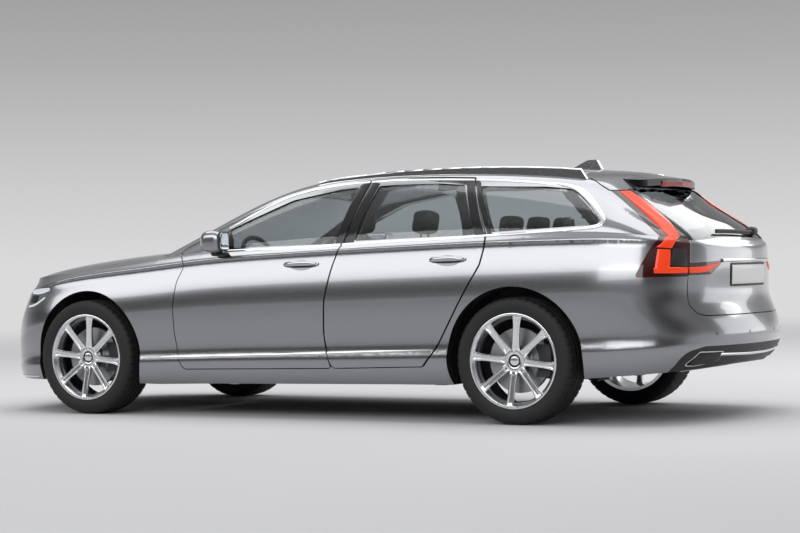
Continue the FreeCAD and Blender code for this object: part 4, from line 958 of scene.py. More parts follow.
class Outside:
    """Outer surface of the whole body, found from two of its coordinates."""

    none, miss, over = -9.0, 0.002, 0.004

    def __init__(self, form: BodyForm) -> None:
        """Keep the skins.

        Args:
            form: the body's control nets.
        """
        self.deck = form.deck()
        self.skins = [form.side(), form.cabin()]

    def at(self, flat: Array, view: View = View.SIDE) -> tuple[Array, Array]:
        """Outermost points and normals at places given by two coordinates.

        A place that no skin meets takes the point of the nearest place that one does.

        Args:
            flat: the two coordinates, one row for each place.
            view: direction from which they are read.

        Returns:
            The points and the unit normals.
        """
        a, b, depth, sign = view.value
        best = np.full(len(flat), self.none)
        points, normals = np.zeros((len(flat), 3)), np.zeros((len(flat), 3))
        for index, skin in enumerate(self.skins):
            found, normal, miss = skin.seek(flat, a, b, depth, sign)
            valid = miss < self.miss
            if index == 0:
                level, _, _ = self.deck.seek(found[:, :2], 0, 1, 2, 1)
                valid &= found[:, 2] < level[:, 2] + self.over
            reach = np.where(valid, sign * found[:, depth], self.none)
            take = reach > best
            points[take], normals[take], best[take] = found[take], normal[take], reach[take]
        lost = best == self.none
        if lost.any():
            kept = np.flatnonzero(~lost)
            near = kept[((flat[lost][:, None] - flat[kept][None]) ** 2).sum(2).argmin(1)]
            points[lost], normals[lost] = points[near], normals[near]
            points[lost, a], points[lost, b] = flat[lost, 0], flat[lost, 1]
        normals *= np.where(normals[:, depth] * sign < 0, -1, 1)[:, None]
        return points, normals

    def slab(self, grid: Array, height: float | Array, view: View = View.SIDE, sink: float = 0.002, mark: int = 0,
             rows_close: bool = False) -> Solid:
        """Thin solid that lies on the body over a grid of places.

        Args:
            grid: places by row and column.
            height: how far the top stands above the body.
            view: direction from which the places are read.
            sink: how far the foot lies under the body.
            mark: finish number of all faces.
            rows_close: whether the last row joins the first.

        Returns:
            The solid.
        """
        rows, columns = grid.shape[:2]
        points, normals = self.at(grid.reshape(-1, 2), view)
        rise = np.broadcast_to(np.asarray(height, float), (rows, columns)).reshape(-1, 1)
        top = (points + normals * rise).reshape(rows, columns, 3)
        foot = (points - normals * sink).reshape(rows, columns, 3)
        return Solid.from_grid(np.concatenate([top, foot[:, ::-1]], 1), rows_close=rows_close, mark=mark)

    def ribbon(self, path: Outline, width: float | Sequence[float], height: float, view: View = View.SIDE,
               count: int = 60, closed: bool = False, across: int = 7) -> Solid:
        """Rounded strip along a path on the body.

        The height falls by 85 percent of the cubed share of the half width.

        Args:
            path: corners of the middle line, which are cut round twice.
            width: width, or widths at even steps along the path.
            height: height of the middle above the body.
            view: direction from which the places are read.
            count: points along the path.
            closed: whether the path closes on itself.
            across: points across the strip.

        Returns:
            The strip.
        """
        line = resampled(path, count, 2, closed)
        if closed:
            run = np.roll(line, -1, 0) - np.roll(line, 1, 0)
        else:
            run = np.gradient(line, axis=0)
        run /= np.linalg.norm(run, axis=1, keepdims=True)
        normal = np.stack([-run[:, 1], run[:, 0]], 1)
        share = np.linspace(-1, 1, across)
        wide = np.interp(np.linspace(0, 1, count), np.linspace(0, 1, np.size(width)), np.atleast_1d(width)) / 2
        grid = line[:, None] + normal[:, None] * (share[None, :, None] * wide[:, None, None])
        crown = height * (1 - 0.85 * np.abs(share) ** 3)
        return self.slab(grid, crown[None], view, rows_close=closed)

    def between(self, first: Outline, second: Outline, height: float, view: View = View.SIDE, count: int = 30,
                across: int = 8, rounds: int = 2) -> Solid:
        """Sheet on the body between two lines, lower at its edges.

        Args:
            first: corners of one line.
            second: corners of the other, in the same sense.
            height: height above the body.
            view: direction from which the places are read.
            count: points along the lines.
            across: points from line to line.
            rounds: how often the corners are cut.

        Returns:
            The sheet.
        """
        one, two = resampled(first, count, rounds), resampled(second, count, rounds)
        share = np.linspace(0, 1, across)[None, :, None]
        grid = one[:, None] * (1 - share) + two[:, None] * share
        crown = height * (1 - 0.7 * np.abs(np.linspace(-1, 1, across)) ** 8)
        return self.slab(grid, crown[None], view)


# Wheels
@dataclass(frozen=True)
class WheelForm:
    """Sizes of a wheel and its tyre, in metres, round the wheel's own centre."""

    rim: float = 0.258
    tyre: float = 0.352
    spokes: int = 8
    nuts: int = 5
    nut_circle: float = 0.0515
    lean: float = math.radians(6)

    def tyre_solid(self, centre: Sequence[float]) -> Solid:
        """Low tyre with a rounded wall, four grooves and cut shoulders.

        Args:
            centre: centre of the wheel.

        Returns:
            The tyre.
        """
        wall = [(self.rim, -0.101), (self.rim + 0.004, -0.110), (self.rim + 0.018, -0.1175),
                (self.rim + 0.040, -0.1222), (self.rim + 0.058, -0.1212), (self.tyre - 0.018, -0.1150),
                (self.tyre - 0.008, -0.1060), (self.tyre - 0.003, -0.0950)]
        tread = []
        for groove in (-0.060, -0.021, 0.021, 0.060):
            tread += [(self.tyre, groove - 0.0052), (self.tyre - 0.007, groove - 0.0042),
                      (self.tyre - 0.007, groove + 0.0042), (self.tyre, groove + 0.0052)]
        outer = [(radius, -offset) for radius, offset in reversed(wall)]
        profile = np.array(wall + tread + outer)
        segments, pitch = 288, 6
        turn = np.linspace(0, 2 * math.pi, segments, endpoint=False)
        radius = np.repeat(profile[None, :, 0], segments, 0)
        shoulder = (np.abs(profile[:, 1]) > 0.064) & (profile[:, 0] > self.tyre - 0.012)
        cut = (np.arange(segments) % pitch < 1)[:, None] & shoulder[None]
        radius = radius - 0.006 * cut
        grid = np.stack([radius * np.cos(turn)[:, None], np.broadcast_to(profile[None, :, 1], radius.shape),
                         radius * np.sin(turn)[:, None]], 2)
        return Solid.from_grid(grid + np.asarray(centre, float), rows_close=True)

    def barrel(self, centre: Sequence[float]) -> Solid:
        """Rim with a polished lip on its outer side.

        Args:
            centre: centre of the wheel.

        Returns:
            The rim.
        """
        r = self.rim
        profile = [(r - 0.001, -0.100), (r - 0.001, 0.100), (r + 0.005, 0.1095), (r + 0.0055, 0.1135),
                   (r + 0.001, 0.1150), (r - 0.006, 0.1135), (r - 0.010, 0.1090), (r - 0.014, 0.1000),
                   (r - 0.026, 0.0860), (r - 0.032, 0.0400), (r - 0.020, -0.0600), (r - 0.010, -0.1140),
                   (r + 0.009, -0.1140), (r + 0.009, -0.1105)]
        return revolved(profile, centre, 96)

    def spoke(self) -> Solid:
        """One spoke along +X from the hub, flared at the rim, its face hollowed between two ridges.

        Returns:
            The spoke, with mark 1 on its back and flanks, which take the darker alloy as painted shade.
        """
        s = np.linspace(0, 1, 30)
        r = 0.050 + s * (self.rim - 0.012 - 0.050)
        wide = np.interp(s, [0, 0.15, 0.45, 0.75, 0.92, 1], [0.0250, 0.0215, 0.0190, 0.0200, 0.0240, 0.0290])
        face = np.interp(s, [0, 0.12, 0.5, 0.88, 1], [0.088, 0.094, 0.101, 0.1075, 0.1085])
        deep = np.interp(s, [0, 0.5, 1], [0.046, 0.034, 0.028])
        t = np.linspace(-1, 1, 17)
        hollow = 0.0045 * np.clip((0.62 - np.abs(t)) / 0.20, 0, 1)
        rounding = 0.004 * np.clip((np.abs(t) - 0.82) / 0.18, 0, 1) ** 2
        fade = np.clip(s / 0.16, 0, 1) * np.clip((1 - s) / 0.07, 0, 1)
        top_y = face[:, None] - hollow[None] * fade[:, None] - rounding[None]
        top = np.stack([np.broadcast_to(r[:, None], top_y.shape), top_y, wide[:, None] * t[None]], 2)
        back_t = np.linspace(1, -1, 7)
        back_y = face[:, None] - deep[:, None] * (1 - 0.5 * np.abs(back_t[None]) ** 3)
        back = np.stack([np.broadcast_to(r[:, None], back_y.shape), back_y, 0.86 * wide[:, None] * back_t[None]], 2)
        part = Solid.from_grid(np.concatenate([top, back], 1))
        strip, columns, caps = len(t) - 1, len(t) + len(back_t), 2
        # Back and flank faces get mark 1, the darker alloy: painted shade between the spokes, not a second finish of
        # the wheel.
        sides = [int(min(face) % columns >= strip) for face in part.faces[:-caps]]
        part.marks = sides + [0] * caps
        return part

    def hub(self) -> Solid:
        """Hub plate with a cap and its nuts.

        Returns:
            The hub.
        """
        plate = [(0.037, 0.040), (0.037, 0.0900), (0.048, 0.0930), (0.060, 0.0915), (0.066, 0.0860), (0.068, 0.050)]
        cap = [(0.0005, 0.078), (0.0005, 0.0960), (0.016, 0.0955), (0.024, 0.0935), (0.0275, 0.0890), (0.0275, 0.078)]
        nut = [(0.0004, 0.088), (0.0004, 0.0965), (0.0070, 0.0965), (0.0088, 0.0945), (0.0095, 0.088)]
        parts = [revolved(plate, (0, 0, 0), 72), revolved(cap, (0, 0, 0), 48)]
        for k in range(self.nuts):
            angle = 2 * math.pi * (k + 0.25) / self.nuts
            place = (self.nut_circle * math.cos(angle), 0, self.nut_circle * math.sin(angle))
            parts.append(revolved(nut, place, 6))
        return Solid.join(parts)

    def wheel(self, centre: Sequence[float]) -> Solid:
        """Whole wheel on the left side.

        Args:
            centre: centre of the wheel.

        Returns:
            Rim, hub and spokes in one.
        """
        parts = [self.barrel((0, 0, 0)), self.hub()]
        one = self.spoke()
        for k in range(self.spokes):
            angle = self.lean + 2 * math.pi * k / self.spokes
            c, s = math.cos(angle), math.sin(angle)
            parts.append(one.moved(np.array([[c, 0, -s], [0, 1, 0], [s, 0, c]])))
        whole = Solid.join(parts)
        whole.points = whole.points + np.asarray(centre, float)
        return whole


def add_wheels() -> None:
    """Four wheels with tyres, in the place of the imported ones."""
    form = WheelForm()
    for end, x in (("front", FRONT), ("rear", REAR)):
        for side in Side:
            word = "%s_%s" % (end, side.word)
            centre = (x, TRACK, WHEEL_Z)
            form.wheel(centre).on(side).build("alloy_" + word, "wheel_" + word, "alloy", ALLOY, ALLOY_PAINTED_SHADE,
                                              nodes=["wheel_" + word])
            form.tyre_solid(centre).on(side).build("rubber_" + word, "wheel_" + word, "tyre", RUBBER,
                                                   nodes=["tyre_" + word], angle=50)


# Lamps, trim and fittings on the body
class Trim:
    """Everything that lies on the body's outer surface."""

    chrome_top = [(0.612, 1.128), (0.425, 1.229), (0.168, 1.330), (-0.175, 1.371), (-0.512, 1.381), (-0.842, 1.373),
                  (-1.161, 1.357), (-1.473, 1.330), (-1.575, 1.316), (-1.660, 1.290), (-1.752, 1.224), (-1.838, 1.138),
                  (-1.858, 1.104), (-1.835, 1.080), (-1.740, 1.068), (-1.553, 1.060), (-1.255, 1.048), (-1.160, 1.045)]
    belt = [(0.640, 0.990), (0.512, 0.993), (0.049, 1.001), (-0.289, 1.016), (-0.620, 1.028), (-0.944, 1.035),
            (-1.166, 1.045)]

    def __init__(self, outside: Outside) -> None:
        """Keep the surface that the trim lies on.

        Args:
            outside: outer surface of the body.
        """
        self.outside = outside

    @staticmethod
    def pair(parts: Solid | Sequence[Solid], name: str, body: str, slot: str, finish: Finish,
             nodes: Sequence[str] = ()) -> None:
        """Piece and its mirror image, each riding on its own side's body.

        Args:
            parts: solid or solids of the left piece.
            name: name before the side's word.
            body: shell or tailgate, or a door's name before the side's word.
            slot: material slot of the record.
            finish: finish of the piece.
            nodes: names, before the side's word, of CAD nodes that it replaces.
        """
        whole = parts if isinstance(parts, Solid) else Solid.join(parts)
        for side in Side:
            rides = "%s_%s" % (body, side.word) if body.startswith("door") else body
            whole.on(side).build("%s_%s" % (name, side.word), rides, slot, finish,
                                 nodes=["%s_%s" % (node, side.word) for node in nodes])

    @staticmethod
    def stretch(path: Outline, start: float, end: float) -> list[tuple[float, float]]:
        """Part of a path that falls from start to end in x.

        Args:
            path: corners of the path.
            start: x of the first point.
            end: x of the last point.

        Returns:
            The corners between, with both ends.
        """
        x = [-p[0] for p in path]
        z = [p[1] for p in path]
        inner = [p for p in path if start > p[0] > end]
        return [(start, float(np.interp(-start, x, z)))] + inner + [(end, float(np.interp(-end, x, z)))]

    def window_chrome(self) -> None:
        """Bright outline of the side windows, one piece for each door and one for the body."""
        top = self.chrome_top[:8]
        lines = {
            "door_front": [(self.stretch(top, 0.611, -0.314), 0.011), (self.stretch(self.belt, 0.630, -0.226), 0.013)],
            "door_rear": [(self.stretch(top, -0.324, -1.000), 0.011), (self.stretch(self.belt, -0.240, -1.160), 0.013)],
        }
        for door, strips in lines.items():
            parts = [self.outside.ribbon(path, width, 0.004) for path, width in strips]
            self.pair(parts, "window_chrome_" + door, door, "polished_trim", TRIM)
        rear = [(-1.012, self.stretch(top, -1.012, -1.1)[0][1])] + self.chrome_top[6:]
        width = [0.011] * 5 + [0.014, 0.020, 0.027, 0.030, 0.028, 0.022, 0.016] + [0.013] * 6
        self.pair(self.outside.ribbon(rear, width, 0.004, count=110), "window_chrome_body", "shell", "polished_trim",
                  TRIM)

    def pillars(self) -> None:
        """Black pillars between the side windows."""
        sheets = {
            "door_front": [([(-0.178, 1.010), (-0.256, 1.362)], [(-0.232, 1.012), (-0.3195, 1.374)]),
                           ([(0.640, 1.000), (0.612, 1.098), (0.600, 1.118)],
                            [(0.520, 1.000), (0.540, 1.060), (0.585, 1.112)])],
            "door_rear": [([(-0.242, 1.014), (-0.3285, 1.374)], [(-0.306, 1.016), (-0.385, 1.366)]),
                          ([(-1.094, 1.044), (-0.950, 1.360)], [(-1.158, 1.044), (-0.999, 1.366)])],
            "shell": [([(-1.172, 1.050), (-1.012, 1.364)], [(-1.200, 1.052), (-1.044, 1.352)])],
        }
        for body, pairs in sheets.items():
            parts = [self.outside.between(a, b, 0.0015, rounds=0) for a, b in pairs]
            self.pair(parts, "pillar_black_" + body, body, "black_plastic", GLOSS_BLACK)

    def sill_strip(self) -> None:
        """Bright strip low on the wing and the doors, rising to the rear."""
        line = [(1.068, 0.355), (0.918, 0.358), (0.027, 0.382), (-0.834, 0.410)]
        spans = {"shell": (1.060, 0.9335, [0.004, 0.020, 0.024]), "door_front": (0.9245, -0.1490, [0.024, 0.022]),
                 "door_rear": (-0.1600, -0.836, [0.022, 0.020, 0.004])}
        for body, (start, end, width) in spans.items():
            strip = self.outside.ribbon(self.stretch(line, start, end), width, 0.007, count=50, across=9)
            self.pair(strip, "sill_chrome_" + body, body, "polished_trim", TRIM)

    def tail_lamps(self) -> None:
        """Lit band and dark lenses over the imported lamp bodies."""
        upper = self.outside.between(
            [(-1.866, 1.272), (-1.981, 1.181), (-2.076, 1.101), (-2.145, 1.045), (-2.176, 1.013), (-2.168, 0.988),
             (-2.140, 0.962)],
            [(-1.900, 1.272), (-2.002, 1.199), (-2.095, 1.133), (-2.166, 1.081), (-2.212, 1.030), (-2.222, 0.994),
             (-2.205, 0.955)], 0.006, count=60, across=11)
        lower = self.outside.between([(-2.146, 0.950), (-2.143, 0.911), (-2.136, 0.824)],
                                     [(-2.199, 0.948), (-2.203, 0.909), (-2.201, 0.850)], 0.006, count=30, across=11)
        foot = self.outside.between([(-2.133, 0.850), (-2.200, 0.854), (-2.2655, 0.850)],
                                    [(-2.136, 0.822), (-2.200, 0.820), (-2.2655, 0.820)], 0.0065, count=30, across=9)
        beam = self.outside.between([(0.634, 0.850), (0.545, 0.852), (0.467, 0.860), (0.398, 0.874)],
                                    [(0.634, 0.820), (0.545, 0.820), (0.468, 0.829), (0.388, 0.872)], 0.0055, View.TAIL,
                                    count=30, across=9)
        smoke = self.outside.between([(-2.214, 0.955), (-2.208, 0.905), (-2.206, 0.862)],
                                     [(-2.258, 0.950), (-2.2655, 0.905), (-2.2655, 0.860)], 0.003, count=20)
        self.pair([upper, lower, foot], "lamp_band", "shell", "lamp_red", LAMP_LIT)
        self.pair(smoke, "lamp_smoke", "shell", "lamp_clear", LAMP_SMOKE)
        self.pair(beam, "lamp_beam", "tailgate", "lamp_red", LAMP_LIT)

    def headlamps(self) -> None:
        """Bright wedge and strips under the clear lens."""
        wedge = self.outside.between([(1.925, 0.782), (2.030, 0.778), (2.130, 0.766)],
                                     [(1.925, 0.764), (2.010, 0.742), (2.110, 0.744)], 0.003)
        low = self.outside.ribbon([(1.960, 0.722), (2.050, 0.676), (2.140, 0.664)], 0.012, 0.003, count=30)
        lens = self.outside.between([(2.030, 0.735), (2.120, 0.736)], [(2.040, 0.690), (2.130, 0.684)], 0.003)
        self.pair([wedge, low], "headlamp_light", "shell", "lamp_clear", LAMP_BRIGHT)
        self.pair(lens, "headlamp_lens", "shell", "lamp_clear", GLOSS_BLACK)

    def grille(self) -> None:
        """Upright bars in a bright frame."""
        bars = [self.outside.ribbon([(y, 0.330), (y, 0.500), (y, 0.655)], 0.010, 0.008, View.NOSE, count=16, across=5)
                for y in np.linspace(-0.36, 0.36, 25)]
        left = [(-0.330, 0.308), (-0.395, 0.308), (-0.412, 0.325), (-0.456, 0.530), (-0.456, 0.570), (-0.395, 0.668),
                (-0.375, 0.680), (-0.330, 0.682)]
        frame_line = left + [(-y, z) for y, z in reversed(left)]
        bars.append(self.outside.ribbon(frame_line, 0.022, 0.010, View.NOSE, count=120, closed=True))
        Solid.join(bars).build("grille_bars", "shell", "polished_trim", TRIM)

    def nose(self) -> None:
        """Painted panel between the bonnet's front edge and the bumper."""
        half, foot, columns, rows = 0.66, 0.688, 90, 14
        y = np.linspace(-half, half, columns)
        top = np.interp(np.abs(y), [0, 0.3, 0.5, half], [0.820, 0.817, 0.809, 0.797])
        share = np.linspace(0, 1, rows)[None]
        grid = np.stack([np.broadcast_to(y[:, None], (columns, rows)), top[:, None] * (1 - share) + foot * share], 2)
        self.outside.slab(grid, -0.0012, View.NOSE, 0.014).build("nose_panel", "shell", "paint", PAINT, angle=60)

    def handles(self) -> None:
        """Door handles, each a bowed bar over a dished hollow; the hollow's shade is painted as a raised sheet of
        darker body paint.
        """
        for door, x0, x1, z0, z1 in (("door_front", 0.137, -0.097, 0.900, 0.903),
                                     ("door_rear", -0.836, -1.062, 0.912, 0.915)):
            s = np.linspace(0, 1, 40)
            flat = np.stack([x0 + (x1 - x0) * s, z0 + (z1 - z0) * s], 1)
            points, normals = self.outside.at(flat)
            bow = 0.036 * np.sin(np.pi * np.clip(s, 0.02, 0.98)) ** 0.45
            path = points + normals * (bow[:, None] - 0.006)
            thick = np.interp(s, [0, 0.08, 0.5, 0.92, 1], [0.0045, 0.0085, 0.0095, 0.0085, 0.0045])
            tall = np.interp(s, [0, 0.08, 0.3, 0.75, 1], [0.008, 0.0135, 0.0155, 0.0150, 0.0085])
            bar = swept(path, np.stack([thick, tall], 1), 16)
            centre_x, centre_z = (x0 + x1) / 2, (z0 + z1) / 2
            turn = np.linspace(0, 2 * math.pi, 48, endpoint=False)
            rings = np.linspace(1, 0.02, 8)
            # The hollow is not cut into the door: a sheet in the darker paint stands on it as painted shade.
            dish = np.stack([centre_x + 0.078 * rings[None] * np.cos(turn)[:, None],
                             centre_z - 0.004 + 0.030 * rings[None] * np.sin(turn)[:, None]], 2)
            hollow = self.outside.slab(dish, 0.0018, rows_close=True)
            self.pair(bar, "handle_" + door, door, "polished_trim", HANDLE)
            self.pair(hollow, "handle_dish_" + door, door, "paint", HOLLOW_SHADE_PAINT)

    def mirrors(self) -> None:
        """Mirror heads with glass, on dark feet."""
        x, z, length = 0.586, 1.047, 0.082
        head = egg((x, 0.982, z), (length, 0.056, 0.064), 0.62, 26, 40)
        shift = (head.points[:, 0] - x) / length
        head.points[:, 1] += 0.012 * (1 - shift**2) - 0.022 * np.clip(shift, 0, 1) ** 2
        head.points[:, 2] = z + (head.points[:, 2] - z) * (1 - 0.30 * np.clip(shift, 0, 1) ** 2)
        feet = [egg((0.580, 0.918, 0.972), (0.050, 0.050, 0.014), 0.7),
                egg((0.585, 0.955, 0.992), (0.040, 0.030, 0.018), 0.8)]
        self.pair(head, "mirror_head", "door_front", "paint", PAINT, nodes=["mirror"])
        self.pair(feet, "mirror_foot", "door_front", "black_plastic", GLOSS_BLACK)
        self.pair(egg((0.509, 0.986, z), (0.010, 0.052, 0.058), 0.5, 16, 32), "mirror_frame", "door_front",
                  "black_plastic", BLACK)
        self.pair(egg((0.5015, 0.986, z), (0.004, 0.046, 0.051), 0.4, 14, 32), "mirror_glass", "door_front",
                  "polished_trim", MIRROR)

    def spoiler(self) -> None:
        """Brake lamp under the edge of the roof blade, and the dark frame of the tail glass."""
        y = np.linspace(-0.545, 0.545, 61)
        share = np.abs(y)
        back = np.interp(share, [0, 0.2, 0.34, 0.40, 0.454, 0.50, 0.545],
                         [-1.9965, -1.9745, -1.945, -1.920, -1.862, -1.850, -1.832])
        level = 1.411 - 0.1704 * (-1.660 - back) - 0.036 * (y / 0.46) ** 2 - 0.010
        wide = np.abs(y) <= 0.24
        lamp = [np.stack([back[wide] + dx, y[wide], level[wide] + dz], 1)
                for dx, dz in ((0.002, -0.004), (-0.004, -0.007), (0.006, -0.034), (0.014, -0.036))]
        Solid.from_grid(np.stack(lamp, 1)).build("brake_lamp", "tailgate", "lamp_red", LAMP_DIM)
        rim = self.outside.between([(0.574, 1.276), (0.548, 1.222), (0.566, 1.110), (0.586, 1.048), (0.606, 0.998)],
                                   [(0.500, 1.292), (0.506, 1.222), (0.530, 1.090), (0.548, 1.030), (0.562, 0.998)],
                                   0.0015, View.TAIL, count=40)
        self.pair(rim, "tail_frame", "tailgate", "black_plastic", GLOSS_BLACK)

    def tail_details(self) -> None:
        """Plate, wiper, ledges, valance trim, sensors in the darker painted-shade paint, and black sheets that paint
        the shade inside the exhaust mouths.
        """
        for name, grow, height, slot, finish in (("plate_holder", 0.009, 0.0045, "black_plastic", BLACK),
                                                 ("number_plate", 0.0, 0.0075, "lamp_clear", PLATE)):
            wide, top, low = 0.26 + grow, 0.862 + grow, 0.749 - grow
            self.outside.between([(-wide, top), (wide, top)], [(-wide, low), (wide, low)], height, View.TAIL, count=60,
                                 across=14, rounds=0).build(name, "tailgate", slot, finish)
        ledge = self.outside.ribbon([(-0.36, 0.884), (0, 0.886), (0.36, 0.884)], 0.020, 0.012, View.TAIL, count=50,
                                    across=9)
        ledge.build("plate_ledge", "tailgate", "polished_trim", TRIM)
        arm_flat = np.array([[-0.42, 1.034], [-0.20, 1.036], [0.05, 1.040], [0.25, 1.040]])
        arm_points, arm_normals = self.outside.at(resampled(arm_flat, 30), View.TAIL)
        arm = swept(arm_points + arm_normals * 0.016, (0.006, 0.007), 10)
        blade = swept(arm_points + arm_normals * 0.006, (0.003, 0.010), 8)
        knob_place, knob_normal = self.outside.at(np.array([[-0.36, 1.040]]), View.TAIL)
        knob = egg(knob_place[0] + knob_normal[0] * 0.012, (0.030, 0.050, 0.026), 0.8)
        Solid.join([arm, blade, knob]).build("tail_wiper", "tailgate", "black_plastic", BLACK)
        valance = [(-0.46, 0.374), (-0.2, 0.366), (0, 0.364), (0.2, 0.366), (0.46, 0.374)]
        self.outside.ribbon(valance, 0.014, 0.006, View.TAIL, count=80).build("valance_chrome", "shell",
                                                                              "polished_trim", TRIM)
        # Black sheets over the exhaust openings: painted shade of the insides of the pipes.
        mouth = self.outside.between([(0.640, 0.326), (0.628, 0.380), (0.592, 0.386)],
                                     [(0.440, 0.326), (0.440, 0.370), (0.452, 0.386)], 0.0045, View.TAIL, count=16,
                                     rounds=1)
        self.pair(mouth, "tip_painted_shade", "shell", "black_plastic", BLACK)
        turn = np.linspace(0, 6.2832, 20, endpoint=False)[:, None]
        rings = 0.010 * np.linspace(1, 0.05, 4)[None]
        spots = {View.TAIL: ((-0.52, 0.49), (-0.2, 0.49), (0.2, 0.49), (0.52, 0.49)),
                 View.NOSE: ((-0.55, 0.50), (0.55, 0.50))}
        dots = [self.outside.slab(np.stack([y + rings * np.cos(turn), z + rings * np.sin(turn)], 2), 0.0015, view,
                                  rows_close=True)
                for view, places in spots.items() for y, z in places]
        # Sensor discs in the darker copy of the body paint: painted shade, not a colour of their own.
        Solid.join(dots).build("parking_sensors", "shell", "paint", HOLLOW_SHADE_PAINT)
        lip = [(2.435, 0.232), (2.330, 0.226), (2.180, 0.222), (2.020, 0.226)]
        self.pair(self.outside.ribbon(lip, 0.014, 0.005, count=40), "lip_chrome", "shell", "polished_trim", TRIM)

    def build(self) -> None:
        """Add every group of trim."""
        for step in (self.window_chrome, self.pillars, self.sill_strip, self.tail_lamps, self.headlamps, self.grille,
                     self.nose, self.handles, self.mirrors, self.spoiler, self.tail_details):
            step()
            LOG.info("trim %s", step.__name__)


# Cabin
@dataclass(frozen=True)
class Pad:
    """Padded block: a crowned closed form between two ends, narrower at its front and top edges."""

    name: str
    centre: tuple[float, float, float]
    half: tuple[float, float, float]
    lean: float = 0.0
    bolster: float = 0.0
    fill: float = 0.7
    seams: tuple[float, ...] = ()

    def solid(self) -> Solid:
        """Closed form about the pad's centre, leaning about Y, with raised side bolsters.

        A bolster rises with the square of the place across, from 0.55 to 0.90 of the half width.

        Returns:
            The form.
        """
        block = egg((0, 0, 0), self.half, 0.42, 22, 40)
        share = np.abs(block.points[:, 1]) / self.half[1]
        face = np.clip(block.points[:, 2] / self.half[2], 0, 1)
        block.points[:, 2] += self.bolster * face * np.clip((share - 0.55) / 0.35, 0, 1) ** 2
        return block.moved(self.turn(), self.centre)

    def turn(self) -> Array:
        """Matrix of the lean about Y.

        Returns:
            The three by three matrix.
        """
        c, s = math.cos(self.lean), math.sin(self.lean)
        return np.array([[c, 0, s], [0, 1, 0], [-s, 0, c]])


